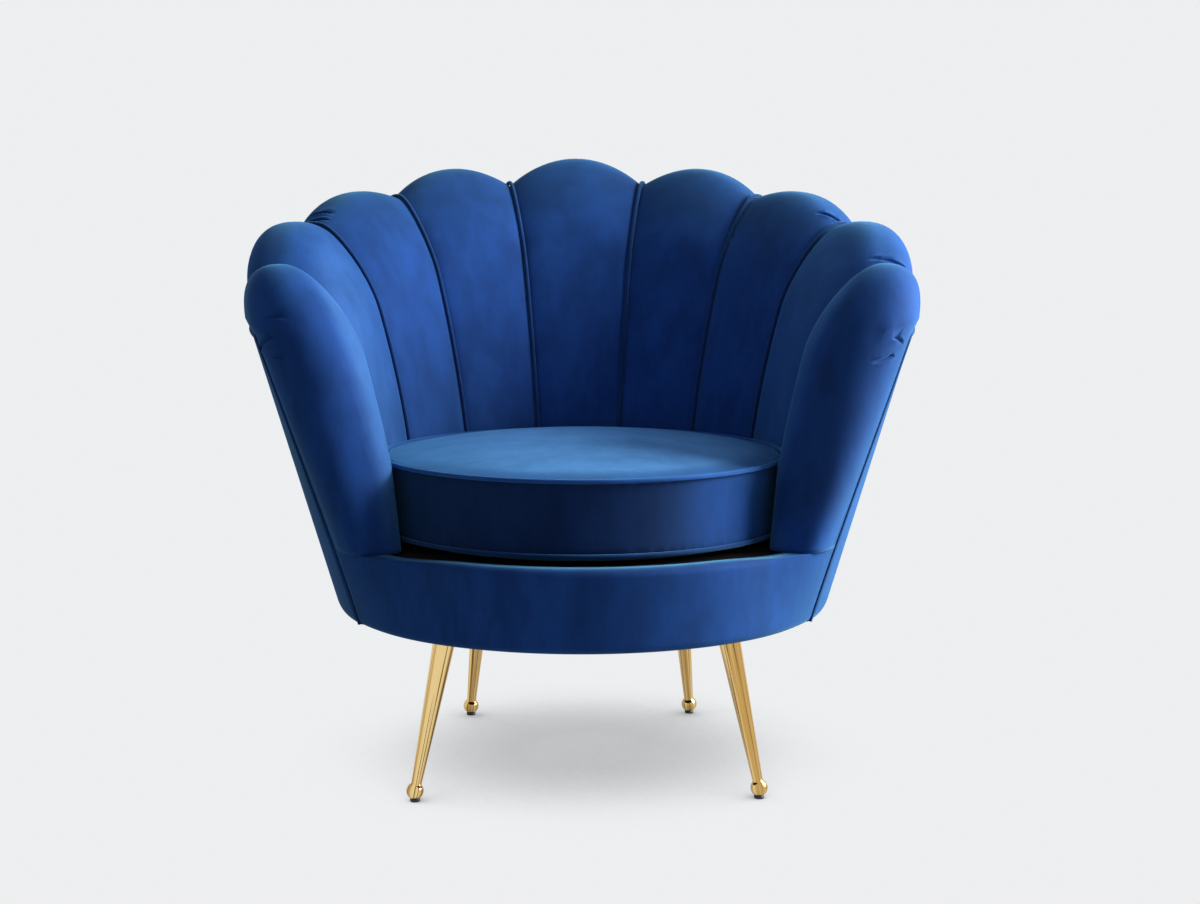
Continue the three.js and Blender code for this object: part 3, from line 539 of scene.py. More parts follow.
DUST_CLOTH = plain_material(
    "dust_cloth", (0.012, 0.012, 0.013), (0.02, 0.02, 0.022), 0.95, 0.0, 500, (1, 1, 1), 0.5,
)
SLOTS = {
    "velvet": VELVET, "piping": SHADED_PIPING, "gold_metal": GOLD, "timber": TIMBER, "foam": FOAM,
    "black_cloth": BLACK_CLOTH, "steel": STEEL, "glide": GLIDE,
}

for row in frame["record"]["subparts"]:
    node = nodes[row["node"]]
    node.data.materials.clear()
    node.data.materials.append(SLOTS[row["material_slot"]])


def dress(obj, body, slot, *replaced):
    obj.data.materials.clear()
    obj.data.materials.append(SLOTS[slot])
    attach(obj, body)
    if replaced:
        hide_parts(*replaced)
    return obj


# Piping, made along a path


def piping_maker():
    m = Maker("piping_on_a_path", {"Radius": WELT * MM, "Sides": 12})
    path = m.add("GeometryNodeMeshToCurve", {"Mesh": m.given["Path"]}).outputs["Curve"]
    ring = m.add("GeometryNodeCurvePrimitiveCircle", {
        "Resolution": m.given["Sides"], "Radius": m.given["Radius"],
    })
    cord = m.add("GeometryNodeCurveToMesh", {
        "Curve": path, "Profile Curve": ring.outputs["Curve"], "Fill Caps": True,
    })
    m.finish(cord.outputs["Mesh"])
    return m


PIPING_MAKER = piping_maker()


def piping(name, points, body, node, closed=False, finish=None):
    obj = PIPING_MAKER.make(name, finish or SHADED_PIPING, points, closed, Radius=WELT * MM)
    dress(obj, body, "piping", node)
    if finish:
        obj.data.materials[0] = finish
    return obj


# The channels of the back

COLUMNS, ARM_COLUMNS, NOSE_STEPS = 31, 26, 22
PAD_UNEVEN, LUMPS_ROUND, LUMPS_UP, LUMPS_APART = 1.2, 3, 0.009, 3.7


def channel_maker():
    """One scalloped channel: a sheet of skin over a sheet of core, closed round their edge."""
    m = Maker("scalloped_channel", {
        "Start": 0.0, "End": 0.3, "Scallop Rise": 30.0, "Swell": CHANNEL_SWELL, "Unevenness": PAD_UNEVEN,
        "Seed": 0.0, "Columns": COLUMNS, "Rows": LAST_ROW + 1,
    })
    grid = m.add("GeometryNodeMeshGrid", {
        "Size X": 1.0, "Size Y": 1.0, "Vertices X": m.given["Columns"], "Vertices Y": m.given["Rows"],
    }).outputs["Mesh"]
    raised = m.add("GeometryNodeExtrudeMesh", {
        "Mesh": grid, "Offset Scale": 1.0, "Individual": False,
    }, mode="FACES")
    under = m.add("GeometryNodeFlipFaces", {"Mesh": grid}).outputs["Mesh"]
    both = m.add("GeometryNodeJoinGeometry", {0: under})
    m.tree.links.new(raised.outputs["Mesh"], both.inputs[0])
    closed = m.add("GeometryNodeMergeByDistance", {"Geometry": both.outputs[0], "Distance": 0.001}).outputs[0]
    spot = m.add("GeometryNodeInputPosition").outputs[0]
    lattice = m.add("ShaderNodeSeparateXYZ", {"Vector": spot}).outputs
    across, in_front = Field(m, lattice["X"]), Field(m, lattice["Z"])
    row = (Field(m, lattice["Y"]) + 0.5) * LAST_ROW

    place = sine(across * math.pi)
    start, end = m.size("Start"), m.size("End")
    edge = place * (1 - (SEAM_SLOT / TUB_RADIUS) * (end - start) ** -1.0)
    angle = mix(start, end, (edge + 1) * 0.5)
    ridge = rim_height(angle) + m.size("Scallop Rise") * (1 - place ** 2)
    over = row.join("GREATER_THAN", RIDGE_ROW + 0.5)
    sides = []
    for shape in (
        Shape(lambda height: angle, ridge, m.size("Swell"), 1 - pad_share(place)),
        Shape(lambda height: angle, ridge, 0.0, 0.0, core=True),
    ):
        inside = shape.at(least(row, RIDGE_ROW), False)
        outside = shape.at(least(2 * RIDGE_ROW - row, RIDGE_ROW), True)
        sides.append([mix(a, b, over) for a, b in zip(inside, outside)])
    height = mix(sides[1][0], sides[0][0], in_front)
    radius = mix(sides[1][1], sides[0][1], in_front)
    spot = m.add("ShaderNodeCombineXYZ", {
        "X": angle * LUMPS_ROUND, "Y": height * LUMPS_UP, "Z": m.size("Seed"),
    }).outputs[0]
    unevenness = m.add("ShaderNodeTexNoise", {"Vector": spot, "Scale": 1.0, "Detail": 1.0})
    lumps = Field(m, unevenness.outputs["Fac"])
    push = (lumps - 0.5) * 2 * m.size("Unevenness") * (1 - place ** 2) * in_front
    radius = radius + push * mix(-1.0, 1.0, over)
    point = m.add("ShaderNodeCombineXYZ", {
        "X": radius * sine(angle) * MM, "Y": radius * cosine(angle) * MM + CENTRE.y, "Z": height * MM,
    })
    m.finish(m.add("GeometryNodeSetPosition", {"Geometry": closed, "Position": point.outputs[0]}).outputs[0])
    return m


CHANNEL_MAKER = channel_maker()


def channel_pad(index, start, end):
    obj = CHANNEL_MAKER.make(f"channel_{index}", VELVET, **{
        "Start": start, "End": end, "Scallop Rise": scallop_rise(start, end), "Seed": index * LUMPS_APART,
    })
    dress(obj, "chair", "velvet", f"back_channel_{index}")
    return obj


def arm_pad(index, side):
    """The end pad: the wall from the last seam to the arm's edge, and the nose round its front."""
    fronts, backs, faces = [], [], []

    def add(front, back):
        fronts.append(front)
        backs.append(back)
        return len(fronts) - 1

    def strip(left, right, start, end):
        for row in range(start, end):
            corners = [left[row], left[row + 1], right[row + 1], right[row]]
            corners = [c for i, c in enumerate(corners) if c != corners[i - 1]]
            faces.append(tuple(corners))

    def shapes(share):
        def at(height):
            return mix(LAST_SEAM + CLEARANCE / 2 / TUB_RADIUS, nose_angle(height), share)

        ridge = mix(SIDE_RIM, ARM_TOP, 1 - (1 - share) ** 2)
        place = min(share / ARM_CROWN, 1) - 1
        skin = Shape(at, ridge, ARM_SWELL, 1 - pad_share(place), flare=ARM_FLARE)
        return skin, Shape(at, ridge, 0, 0, core=True)

    walls = []
    for i in range(ARM_COLUMNS + 1):
        even = i / ARM_COLUMNS
        skin, core = shapes(mix(even ** 1.6, even, 0.4))
        walls.append([add(a, b) for a, b in zip(wall_column(skin), wall_column(core))])
    for left, right in zip(walls, walls[1:]):
        strip(left, right, 0, len(left) - 1)
    last = walls[-1]
    outside = last[RIDGE_ROW:][::-1]
    before = last[:RIDGE_ROW + 1]

    def nose(shape, turn, length):
        column = []
        for row, (inner, outer) in enumerate(zip(shape.rows(False), shape.rows(True))):
            power = mix(NOSE_LOW_POWER, NOSE_HIGH_POWER, min(1, (outer[0] - PAD_BOTTOM) / NOSE_FULL))
            across = -math.copysign(abs(math.cos(turn)) ** (2 / power), math.cos(turn))
            share = (across + 1) / 2
            height = mix(inner[0], outer[0], share)
            roll = math.cos(math.pi / 2 * (row - LIP_ROW) / ROLL_ROWS) if row > LIP_ROW else 1
            ahead = length * roll * abs(math.sin(turn)) ** (2 / power)
            column.append(polar(mix(inner[1], outer[1], share), nose_angle(height), height, ahead))
        return column

    skin, core = shapes(1)
    for step in range(1, NOSE_STEPS + 1):
        turn = math.pi * step / NOSE_STEPS
        front, back = nose(skin, turn, NOSE_LENGTH), nose(core, turn, 0)
        column = []
        for row in range(RIDGE_ROW + 1):
            if row == RIDGE_ROW:
                column.append(last[RIDGE_ROW])
            elif step == NOSE_STEPS and row >= LIP_ROW:
                column.append(outside[row - LIP_ROW])
            else:
                column.append(add(front[row], back[row]))
        strip(before, column, 0, RIDGE_ROW)
        before = column
    if side < 0:
        fronts, backs = mirrored(fronts), mirrored(backs)
    obj = thick(f"channel_{index}", fronts, backs, faces)
    dress(obj, "chair", "velvet", f"back_channel_{index}")
    return obj


def set_painted_light(obj, rule):
    """Stores the painted light at each point: above 0 a painted highlight, below 0 painted shade."""
    painted_light = obj.data.attributes.new("painted_light", "FLOAT", "POINT")
    painted_light.data.foreach_set("value", [rule(v.co) for v in obj.data.vertices])


# Strengths of the painted light on the velvet: above 0 painted highlights, below 0 painted shade.
HIGHLIGHT_IN_ARM, HIGHLIGHT_AT_ARM, HIGHLIGHT_LOW_LEFT, SHADE_OVER_TOP, SHADE_ROUND_ARM = 0.26, 0.2, 0.12, -0.35, -0.4
SHADE_BAND_TOP, SHADE_CUSHION_SIDE = -0.4, -0.75


def painted_light_of_channel(point):
    """Painted light on the channels: painted highlights inside the arms and low on the left, painted
    shade over the tops of the middle ones and round the right arm. Angles are in radians, from straight back."""
    x, y, height = point.x, point.y - CENTRE.y, point.z / MM
    angle = math.atan2(x, y)
    inside = math.hypot(x, y) / MM - inner_radius(abs(angle), height)
    turn = abs(angle)
    # Painted highlight on the inner faces of the arms.
    highlight_inside = smooth((turn - 0.95) / 0.5) * smooth(1 - (inside - 16) / 30) * (1 - smooth((turn - 2.15) / 0.15))
    highlight_inside *= HIGHLIGHT_IN_ARM + HIGHLIGHT_AT_ARM * smooth((turn - 1.55) / 0.2)
    # Painted shade over the tops of the middle channels and round the right arm, and a painted highlight low
    # on the left.
    over = smooth((height - rim_height(turn) + 75) / 70) * (1 - smooth((turn - 0.85) / 0.3))
    shade_round_arm = smooth((angle - 1.88) / 0.2) * smooth((height - 300) / 60)
    low = smooth((560 - height) / 200) * smooth((-angle - 0.2) / 0.4) * (1 - smooth((turn - 1.4) / 0.3))
    return highlight_inside + HIGHLIGHT_LOW_LEFT * low + SHADE_OVER_TOP * over + SHADE_ROUND_ARM * shade_round_arm


# Small gathers in the cloth, round the arms and over the channels' tops. Each runs in an arc over its
# pad between two places, given as degrees round the tub, radius and height, and sags or rises by
# some millimetres in its middle. The last value is True where it runs on into the seam.
GATHERS = {
    1: [
        ((111, 410, 567), (114, 385, 571), 2, False),
        ((108, 410, 531), (115, 390, 547), 6, True),
        ((112, 400, 522), (115, 390, 523), 1, False),
    ],
    3: [((59, 424, 684), (58, 390, 687), 3, True), ((61, 418, 677), (60, 388, 680), 2, True)],
    7: [((61, 405, 677), (57, 385, 688), 5, True)],
    8: [((85, 415, 622), (84, 370, 632), 6, True)],
    9: [((111, 408, 539), (116, 373, 551), 5, True), ((113, 400, 524), (116, 380, 516), -1, True)],
}
GATHER_STEPS = 6
FOLD_DEPTH, FOLD_WIDTH, FOLD_REACH = 3.2, 1.7, 9.0


def gather_line(skin, side, start, end, rise):
    """The arc of one gather, laid on the pad's surface."""
    line = []
    for i in range(GATHER_STEPS + 1):
        share = i / GATHER_STEPS
        angle, radius, height = (mix(a, b, share) for a, b in zip(start, end))
        point = polar(radius, side * math.radians(angle), height + rise * 4 * share * (1 - share))
        line.append(skin.find_nearest(Vector(point))[0][:])
    return line


def from_fold(places, line):
    """How far points are from a line of points, and how far along it the nearest place is, 0 to 1."""
    line = np.array(line)
    best = np.full(len(places), 1e9)
    along = np.zeros(len(places))
    for i, (a, b) in enumerate(zip(line, line[1:])):
        step = b - a
        share = np.clip((places - a) @ step / (step @ step), 0, 1)
        away = np.linalg.norm(places - a - share[:, None] * step, axis=1)
        nearer = away < best
        best[nearer] = away[nearer]
        along[nearer] = (i + share[nearer]) / (len(line) - 1)
    return best / MM, along


def press_folds(obj, side, gathers):
    """Cuts the mesh finer round each gather, then presses it in, with a small roll on either side."""
    bm = bmesh.new()
    bm.from_mesh(obj.data)
    skin = BVHTree.FromBMesh(bm)
    folds = [(gather_line(skin, side, *arc), into_seam) for *arc, into_seam in gathers]
    places = np.array([v.co[:] for v in bm.verts])
    close = np.min([from_fold(places, line)[0] for line, _ in folds], axis=0) < FOLD_REACH
    bm.verts.ensure_lookup_table()
    edges = [e for e in bm.edges if close[e.verts[0].index] and close[e.verts[1].index]]
    bmesh.ops.subdivide_edges(bm, edges=edges, cuts=4, use_grid_fill=True)
    bm.normal_update()
    places = np.array([v.co[:] for v in bm.verts])
    normals = np.array([v.normal[:] for v in bm.verts])
    push = np.zeros(len(places))
    for line, into_seam in folds:
        away, along = from_fold(places, line)
        fade = np.minimum(1, (1 - along) * 3) * (1 if into_seam else np.minimum(1, along * 3))
        valley = np.exp(-(away / FOLD_WIDTH) ** 2)
        roll = np.exp(-((away - 2.6 * FOLD_WIDTH) / (1.3 * FOLD_WIDTH)) ** 2)
        push += fade * (0.3 * roll - valley) * FOLD_DEPTH * MM
    for vertex, place in zip(bm.verts, places + normals * push[:, None]):
        vertex.co = place
    bm.to_mesh(obj.data)
    bm.free()
    obj.data.polygons.foreach_set("use_smooth", [True] * len(obj.data.polygons))


seams = [-(CENTRE_HALF + i * CHANNEL) for i in range(SIDE_CHANNELS, -1, -1)]
seams += [-angle for angle in seams[::-1]]
pads = {1: arm_pad(1, -1), len(seams) + 1: arm_pad(len(seams) + 1, 1)}
for index in range(1, len(seams)):
    pads[index + 1] = channel_pad(index + 1, seams[index - 1], seams[index])
for index, gathers in GATHERS.items():
    press_folds(pads[index], -1 if index <= len(seams) / 2 else 1, gathers)
for pad in pads.values():
    set_painted_light(pad, painted_light_of_channel)


def seam_welt(index, angle):
    shape = Shape(lambda height: angle, rim_height(angle), CHANNEL_SWELL, 1)
    inner, outer = shape.inner, shape.outer
    shape.inner = lambda height: inner(height) - SEAM_WELT_RISE
    shape.outer = lambda height: outer(height) + SEAM_WELT_RISE
    shape.ridge += SEAM_WELT_RISE
    return piping(f"seam_welt_{index}", wall_column(shape), "chair", f"back_welt_{index}")


for index, angle in enumerate(seams, 1):
    seam_welt(index, angle)

# The outer cover, turned in under the rails, and its welt

COVER_SHELL, COVER_TURN, COVER_COLUMNS = 3.0, 14, 80
HEM_UNDER, HEM_WIDTH = 6.2, 14


def outer_cover():
    """Cloth over the outside, from its hem under the rails, round the lower edge and up to the welt."""
    fronts, backs = [], []
    hem = [(RAIL_BOTTOM - HEM_UNDER, BAND_INNER - HEM_WIDTH), (RAIL_BOTTOM - HEM_UNDER - 0.4, BAND_INNER - 2)]
    beside = 2 * (WELT + CLEARANCE)
    for i in range(2 * COVER_COLUMNS + 1):
        share = i / COVER_COLUMNS - 1
        front, back = [], []
        top_angle = abs(share) * EDGE_HIGH
        top = lip_height(top_angle) - WELT - CLEARANCE
        for height, radius in hem:
            angle = share * (arm_edge(BASE_BOTTOM) - 0.01)
            front.append(polar(radius, angle, height - 2.2))
            back.append(polar(radius, angle, height - 0.8))
        for j in range(9):
            turn = math.pi / 2 * j / 8
            height = BASE_BOTTOM + COVER_TURN * (1 - math.cos(turn))
            angle = share * (arm_edge(height) - beside / outer_radius(EDGE_LOW, height))
            radius = outer_radius(angle, height) - 6 * (1 - math.sin(turn))
            front.append(polar(radius, angle, height))
            back.append(polar(radius - COVER_SHELL * (0.4 + 0.6 * j / 8), angle, height + 1.5 * (1 - j / 8)))
        for j in range(1, 41):
            height = mix(BASE_BOTTOM + COVER_TURN, top, j / 40)
            angle = share * (arm_edge(height) - beside / outer_radius(EDGE_HIGH, height))
            radius = outer_radius(angle, height)
            front.append(polar(radius, angle, height))
            back.append(polar(radius - COVER_SHELL, angle, height))
        fronts.append(front)
        backs.append(back)
    obj = column_sheet("outer_cover", fronts, backs)
    dress(obj, "chair", "velvet", "outer_back_cover")


outer_cover()


def outer_welt():
    points = []
    for i in range(41):
        height = mix(BASE_BOTTOM + WELT, FRONT_LIP, i / 40)
        angle = arm_edge(height)
        points.append(polar(outer_radius(angle, height) + WELT_PROUD, angle, height))
    for i in range(1, 81):
        angle = mix(EDGE_HIGH, 0, i / 80)
        height = lip_height(angle)
        points.append(polar(outer_radius(angle, height) + WELT_PROUD, angle, height))
    points += mirrored(points[:-1][::-1])
    return piping("outer_welt", points, "chair", "outer_cover_welt")


outer_welt()

# The band round the front of the base

BAND_COLUMNS = 120


def base_band():
    """The padded band from arm to arm: straight in front, and flush with the wall at the arms."""
    fronts, backs = [], []
    for i in range(BAND_COLUMNS + 1):
        share = 2 * i / BAND_COLUMNS - 1
        away = abs(share)
        crest_share = 1 - smooth((away - 0.45) / 0.35)
        crest = DECK_TOP + BAND_CREST * crest_share
        rows = []
        for j in range(9):
            turn = math.pi / 2 * j / 8
            rows.append((BASE_BOTTOM + BAND_ROUND * (1 - math.cos(turn)), BAND_ROUND * (1 - math.sin(turn))))
        for j in range(1, 12):
            height = mix(BASE_BOTTOM + BAND_ROUND, crest - BAND_ROUND, j / 12)
            rows.append((height, 0.0))
        for j in range(9):
            turn = math.pi / 2 * j / 8
            inset = BAND_ROUND * crest_share * (1 - math.cos(turn))
            rows.append((crest - BAND_ROUND * (1 - math.sin(turn)), inset))
        front, back = [], []
        for height, inset in rows:
            angle = mix(math.pi, nose_angle(height), away)
            from_arm = max(0.0, angle - arm_edge(height)) / BAND_BLEND
            straight = BAND_RADIUS + BAND_FLARE * (height - BASE_BOTTOM)
            radius = mix(outer_radius(angle, height), straight, smooth(from_arm))
            pair = [polar(radius - inset, angle, height), polar(BAND_INNER, angle, height)]
            if share < 0:
                pair = mirrored(pair)
            front.append(pair[0])
            back.append(pair[1])
        fronts.append(front)
        backs.append(back)
    obj = column_sheet("base_band", fronts, backs)
    # Painted shade along the band's top edge.
    set_painted_light(obj, lambda point: SHADE_BAND_TOP * smooth((point.z / MM - DECK_TOP - BAND_CREST + 7) / 5))
    dress(obj, "chair", "velvet", "base_front_band")
    return obj


base_band()

# The loose cushion

CUSHION_CENTRE = Vector((0, CENTRE.y - CUSHION_FORWARD * MM, 0))
CUSHION_DOME, CUSHION_SLACK, CUSHION_CAP = 19.0, 2.5, 5.0
SEAM_INSET, SEAM_HOLD, SIDE_FULL, CLOTH_GRAIN = 2.6, 7.0, 0.6, 6
CLOTH_STEPS, CLOTH_PRESSURE = 20, 4.0


def cushion_outline():
    """Half the section of the slack cushion, from the middle of its top to that of its bottom."""
    edge = CUSHION_RADIUS - SEAM_INSET
    points = []
    for i in range(30):
        share = i / 29
        points.append((edge * share, CUSHION_TOP + CUSHION_DOME * (1 - share ** 2.6) ** 0.9))
    for i in range(1, 18):
        share = i / 17
        slack = CUSHION_SLACK * math.sin(math.pi * share)
        points.append((edge - slack, mix(CUSHION_TOP, CUSHION_LOW, share)))
    bottom = PAD_BOTTOM + 0.3
    for i in range(1, 20):
        share = 1 - i / 19
        points.append((edge * share, mix(bottom, CUSHION_LOW, max(0.0, (share - 0.86) / 0.14) ** 2)))
    return points


def cushion():
    """A boxed round cushion: a slightly slack form, remeshed and blown up by a cloth simulation
    that holds its two piped seams."""
    profile = [(max(r, 0.01) * MM, z * MM) for r, z in cushion_outline()]
    obj = lathe("cushion", profile[::-1], 120)
    obj.data.transform(Matrix.Translation(CUSHION_CENTRE))
    remesh = obj.modifiers.new("remesh", "REMESH")
    remesh.mode = "VOXEL"
    remesh.voxel_size = CLOTH_GRAIN * MM
    apply_modifiers(obj)
    before = np.array([v.co[:] for v in obj.data.vertices])
    radius = np.hypot(before[:, 0] - CUSHION_CENTRE.x, before[:, 1] - CUSHION_CENTRE.y) / MM
    away = np.minimum(
        np.hypot(radius - CUSHION_RADIUS, before[:, 2] / MM - CUSHION_TOP),
        np.hypot(radius - CUSHION_RADIUS, before[:, 2] / MM - CUSHION_LOW),
    )
    held = obj.vertex_groups.new(name="seams")
    still = (away < SEAM_HOLD) | (before[:, 2] / MM < CUSHION_LOW)
    held.add([int(i) for i in np.flatnonzero(still)], 1.0, "ADD")
    cloth = obj.modifiers.new("filling", "CLOTH")
    cloth.settings.use_pressure = True
    cloth.settings.uniform_pressure_force = CLOTH_PRESSURE
    cloth.settings.effector_weights.gravity = 0.0
    cloth.settings.vertex_group_mass = "seams"
    cloth.point_cache.frame_start, cloth.point_cache.frame_end = 1, CLOTH_STEPS
    for step in range(1, CLOTH_STEPS + 1):
        bpy.context.scene.frame_set(step)
    apply_modifiers(obj)
    moved = np.array([v.co[:] for v in obj.data.vertices]) - before
    reach = np.linalg.norm(moved, axis=1)
    moved *= np.minimum(1, CUSHION_CAP * MM / np.maximum(reach, 1e-9))[:, None]
    after = before + moved
    middle = np.array(CUSHION_CENTRE.xy)
    flat = after[:, :2] - middle
    most_out = (CUSHION_RADIUS - SIDE_FULL) * MM
    after[:, :2] = middle + flat * np.minimum(1, most_out / np.linalg.norm(flat, axis=1))[:, None]
    for vertex, place in zip(obj.data.vertices, after):
        vertex.co = place
    bpy.context.scene.frame_set(1)
    finer = obj.modifiers.new("finer", "SUBSURF")
    finer.levels = finer.render_levels = 1
    apply_modifiers(obj)
    return obj


cushion_cover = cushion()
dress(cushion_cover, "cushion", "velvet", "cushion_cover", "cushion_foam")


def painted_light_of_cushion(point):
    """Painted light on the cushion: a painted highlight over its top, fading at its edge, weaker towards
    its left end and in patches, and painted shade on its side, less towards its right end."""
    away = Vector((point.x - CUSHION_CENTRE.x, point.y - CUSHION_CENTRE.y)).length / MM / CUSHION_RADIUS
    height = point.z / MM
    # Painted shade on the side, painted highlight on the top.
    if height < CUSHION_TOP:
        return SHADE_CUSHION_SIDE * (1 - smooth((point.x - 0.06) / 0.14))
    above = smooth((height - CUSHION_TOP - 1.5) / 6)
    patch = 0.5 + 0.5 * noise.noise(Vector((point.x * 9, point.y * 14, 0.3)))
    left = smooth((point.x + 0.25) / 0.2)
    return above * mix(0.25, 1.0, left) * smooth((1.0 - away) / 0.2) * mix(0.75, 1.0, patch)


set_painted_light(cushion_cover, painted_light_of_cushion)
# The top piping takes the paler copy of the piping, painted light; the low one the darker copy, painted
# shade.
for name, height, node in (
    ("cushion_top_piping", CUSHION_TOP, "cushion_top_welt"),
    ("cushion_low_piping", CUSHION_LOW, "cushion_low_welt"),
):
    ring = []
    for i in range(180):
        turn = 2 * math.pi * i / 180
        ring.append((
            CUSHION_RADIUS * MM * math.cos(turn),
            CUSHION_RADIUS * MM * math.sin(turn) + CUSHION_CENTRE.y,
            height * MM,
        ))
    piping(name, ring, "cushion", node, closed=True, finish=LIT_CUSHION_PIPING if height == CUSHION_TOP else None)

# The springs' padded deck, and the dust cover under the frame


def seat_deck():
    """The padded cloth over the springs, a little quilted by them, with a rounded lower edge."""
    low, high = (Vector(corner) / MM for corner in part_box("seat_deck"))
    reach = (high.x - low.x) / 2 - 0.2
    profile = [(0.01, low.z + 0.2), (reach - 2, low.z + 0.2)]
    profile += [(reach - 2 + 2 * math.sin(t), low.z + 2.2 - 2 * math.cos(t)) for t in (0.4, 0.8, 1.2, 1.57)]
    for i in range(17):
        share = 1 - i / 16
        sunk = 3 * share ** 8 + 0.5 * math.sin(9 * share) ** 2
        profile.append((max(reach * share, 0.01), high.z - 0.2 - sunk))
    obj = lathe("padded_deck", [(r * MM, z * MM) for r, z in profile], 96, Vector((0, 0, 1)), CENTRE)
    dress(obj, "chair", "black_cloth", "seat_deck")


def dust_cover():
    """Thin cloth stapled flat under the frame, with a little sag between its staples."""
    low, high = (Vector(corner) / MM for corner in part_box("dust_cover"))
    reach = (high.x - low.x) / 2 - 0.2
    verts, faces = [], []
    rings, around = 14, 72
    for layer in (low.z + 0.2, high.z - 0.2):
        verts.append((0, CENTRE.y, layer * MM))
        for i in range(1, rings + 1):
            for k in range(around):
                turn = 2 * math.pi * k / around
                pull = 1 - 0.004 * math.sin(12 * turn) ** 2 * (i == rings)
                verts.append((
                    reach * pull * i / rings * math.sin(turn) * MM,
                    reach * pull * i / rings * math.cos(turn) * MM + CENTRE.y,
                    layer * MM,
                ))
    count = 1 + rings * around
    for base in (0, count):
        for k in range(around):
            l = (k + 1) % around
            faces.append((base, base + 1 + k, base + 1 + l))
            for i in range(rings - 1):
                a, b = base + 1 + i * around, base + 1 + (i + 1) * around
                faces.append((a + k, b + k, b + l, a + l))
    edge = 1 + (rings - 1) * around
    for k in range(around):
        l = (k + 1) % around
        faces.append((edge + k, edge + l, count + edge + l, count + edge + k))
    obj = new_object("dust_cloth", verts, faces)
    dress(obj, "chair", "black_cloth", "dust_cover")
    obj.data.materials[0] = DUST_CLOTH


seat_deck()
dust_cover()

# Legs

FRONT_LEG, FRONT_FOOT = (166.0, -210.0), (205.0, -226.0)
REAR_LEG, REAR_FOOT = (132.0, 138.0), (151.0, 171.0)
LEG_TOP, LEG_NECK, BALL, BALL_HEIGHT = 13.6, 5.8, 10.4, 12.8
GLIDE_RADIUS, GLIDE_HEIGHT = 6.0, 4.4
LEG_END, BALL_CUT = 6.5, 0.85


def leg_maker():
    """A tapered round leg on a ball foot, drawn along the line from the ball to the leg's top."""
    m = Maker("ball_foot_leg", {
        "Top Radius": LEG_TOP * MM, "Neck Radius": LEG_NECK * MM, "Ball Radius": BALL * MM,
        "Length": 0.2, "Rings": 190, "Sides": 64,
    })
    line = m.add("GeometryNodeMeshToCurve", {"Mesh": m.given["Path"]}).outputs["Curve"]
    line = m.add("GeometryNodeResampleCurve", {"Curve": line, "Count": m.given["Rings"]}).outputs["Curve"]
    share = Field(m, m.add("GeometryNodeSplineParameter").outputs["Factor"])
    ball, length = m.size("Ball Radius"), m.size("Length")
    above = share * (length + ball * BALL_CUT) - ball * BALL_CUT
    round_part = most(ball * ball - above * above, 0.0) ** 0.5
    cone = mix(m.size("Neck Radius"), m.size("Top Radius"), most(above / length, 0.0))
    cone = cone * above.join("GREATER_THAN", 0.0)
    line = m.add("GeometryNodeStoreNamedAttribute", {
        "Geometry": line, "Name": "along", "Value": share,
    }, data_type="FLOAT")
    ring = m.add("GeometryNodeCurvePrimitiveCircle", {
        "Resolution": m.given["Sides"], "Radius": 1.0,
    }).outputs["Curve"]
    ring = m.add("GeometryNodeStoreNamedAttribute", {
        "Geometry": ring, "Name": "around", "Value": m.add("GeometryNodeInputPosition").outputs[0],
    }, data_type="FLOAT_VECTOR")
    turned = m.add("GeometryNodeCurveToMesh", {
        "Curve": line.outputs[0], "Profile Curve": ring.outputs[0], "Fill Caps": True,
        "Scale": round_part.join("MAXIMUM", cone),
    })
    m.finish(turned.outputs["Mesh"])
    return m


LEG_MAKER = leg_maker()

for name, top, foot in (
    ("front_left", (-FRONT_LEG[0], FRONT_LEG[1]), (-FRONT_FOOT[0], FRONT_FOOT[1])),
    ("front_right", FRONT_LEG, FRONT_FOOT),
    ("rear_left", (-REAR_LEG[0], REAR_LEG[1]), (-REAR_FOOT[0], REAR_FOOT[1])),
    ("rear_right", REAR_LEG, REAR_FOOT),
):
    ball = Vector((foot[0], foot[1], BALL_HEIGHT)) * MM + CENTRE
    axis = Vector((top[0], top[1], RAIL_BOTTOM)) * MM + CENTRE - ball
    length = axis.length / MM
    axis.normalize()
    foot_end, top_end = ball - axis * (BALL_CUT * BALL * MM), ball + axis * ((length - LEG_END) * MM)
    obj = LEG_MAKER.make(f"gold_leg_{name}", GOLD, (foot_end, top_end), Length=(length - LEG_END) * MM)
    dress(obj, "chair", "gold_metal", f"leg_{name}")
    glide = lathe(f"foot_glide_{name}", [
        (GLIDE_RADIUS * 0.9 * MM, 0.0), (GLIDE_RADIUS * MM, 0.5 * MM),
        (GLIDE_RADIUS * MM, (GLIDE_HEIGHT - 0.3) * MM),
    ], 48, Vector((0, 0, 1)), Vector((ball.x, ball.y, 0)))
    dress(glide, "chair", "glide", f"glide_{name}")

# The camera, the floor and the light

TARGET = Vector((0.022, CENTRE.y, 0.388))
ELEVATION, AZIMUTH, DISTANCE = math.radians(7.5), math.radians(-1.8), 2.6
LENS, SENSOR = 61.05, 36
back = Vector((
    math.sin(AZIMUTH) * math.cos(ELEVATION),
    -math.cos(AZIMUTH) * math.cos(ELEVATION),
    math.sin(ELEVATION),
))
camera_data = bpy.data.cameras.new("camera")
camera_data.lens = LENS
camera_data.sensor_width = SENSOR
camera = place_object("camera", camera_data)
camera.location = TARGET + back * DISTANCE
camera.rotation_euler = back.to_track_quat("Z", "Y").to_euler()
scene = bpy.context.scene
scene.camera = camera
scene.view_settings.view_transform = "Standard"

PALE = (0.845, 0.860, 0.875, 1)
LIGHT_AIM, LIGHT_AWAY, AMBIENT = 0.45, 2.4, 0.4


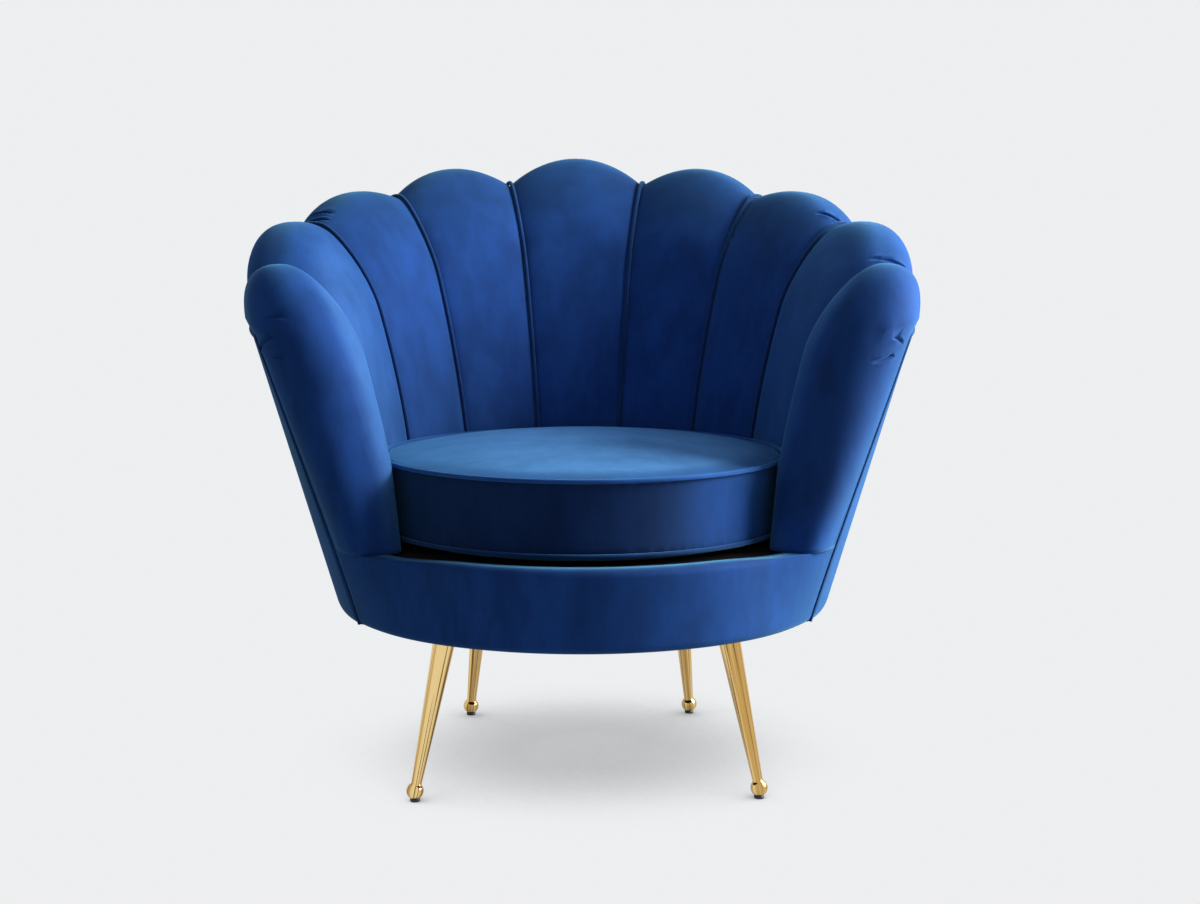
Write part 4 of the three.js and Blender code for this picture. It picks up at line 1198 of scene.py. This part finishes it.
def floor():
    """A pale seamless floor that glows evenly, with a painted shadow from ambient occlusion where the chair
    stands over it.
    """
    n = Nodes.material("floor")
    covered = n.add("ShaderNodeAmbientOcclusion", {"Distance": 0.3}, samples=12).outputs["AO"]
    glow = n.add("ShaderNodeEmission", {"Color": PALE, "Strength": n.ramp(covered, 0.33, 0.7, 0.47, 1.0)})
    bounce = n.add("ShaderNodeBsdfDiffuse", {"Color": (0.3, 0.3, 0.3, 1)})
    path = n.add("ShaderNodeLightPath").outputs
    seen = n.math("MAXIMUM", path["Is Camera Ray"], path["Is Glossy Ray"])
    seen = n.math("MAXIMUM", seen, path["Is Transmission Ray"])
    shown = n.add("ShaderNodeMixShader", {
        0: seen, 1: bounce.outputs["BSDF"], 2: glow.outputs["Emission"],
    })
    material = n.finish(shown.outputs["Shader"])
    verts = [(x, y + CENTRE.y, 0) for x, y in ((-9, -9), (9, -9), (9, 9), (-9, 9))]
    mesh = bpy.data.meshes.new("floor")
    mesh.from_pydata(verts, [], [(0, 1, 2, 3)])
    mesh.materials.append(material)
    place_object("floor", mesh)


floor()


def area_light(name, azimuth, elevation, size, power):
    """A square softbox, by the way it stands from the chair: azimuth from the camera's side."""
    data = bpy.data.lights.new(name, "AREA")
    data.shape = "RECTANGLE"
    data.size = data.size_y = size
    data.energy = power
    turn, lift = math.radians(azimuth), math.radians(elevation)
    away = Vector((math.sin(turn) * math.cos(lift), -math.cos(turn) * math.cos(lift), math.sin(lift)))
    obj = place_object(name, data)
    obj.location = CENTRE + Vector((0, 0, LIGHT_AIM)) + away * LIGHT_AWAY
    obj.rotation_euler = away.to_track_quat("Z", "Y").to_euler()


area_light("key", 90, 20, 1.3, 150)
area_light("rim", 105, 40, 1.3, 22)


def studio():
    """Soft light from all round, less of it from above and behind; the backdrop shows pale."""
    n = Nodes(bpy.data.worlds.new("studio"), "ShaderNodeOutputWorld")
    way = n.add("ShaderNodeSeparateXYZ", {"Vector": n.add("ShaderNodeTexCoord").outputs["Generated"]}).outputs
    from_above = n.ramp(way["Z"], 0.2, 1.0, 1.0, 0.5)
    from_behind = n.ramp(way["Y"], 0.0, 1.0, 1.0, 0.7)
    strength = n.math("MULTIPLY", n.math("MULTIPLY", from_above, from_behind), AMBIENT)
    lighting = n.add("ShaderNodeBackground", {"Color": (0.88, 0.92, 1.0, 1), "Strength": strength})
    shown = n.add("ShaderNodeBackground", {"Color": PALE})
    path = n.add("ShaderNodeLightPath").outputs
    seen = n.math("MAXIMUM", path["Is Camera Ray"], path["Is Glossy Ray"])
    chosen = n.add("ShaderNodeMixShader", {0: seen, 1: lighting.outputs[0], 2: shown.outputs[0]})
    scene.world = n.finish(chosen.outputs[0])


studio()
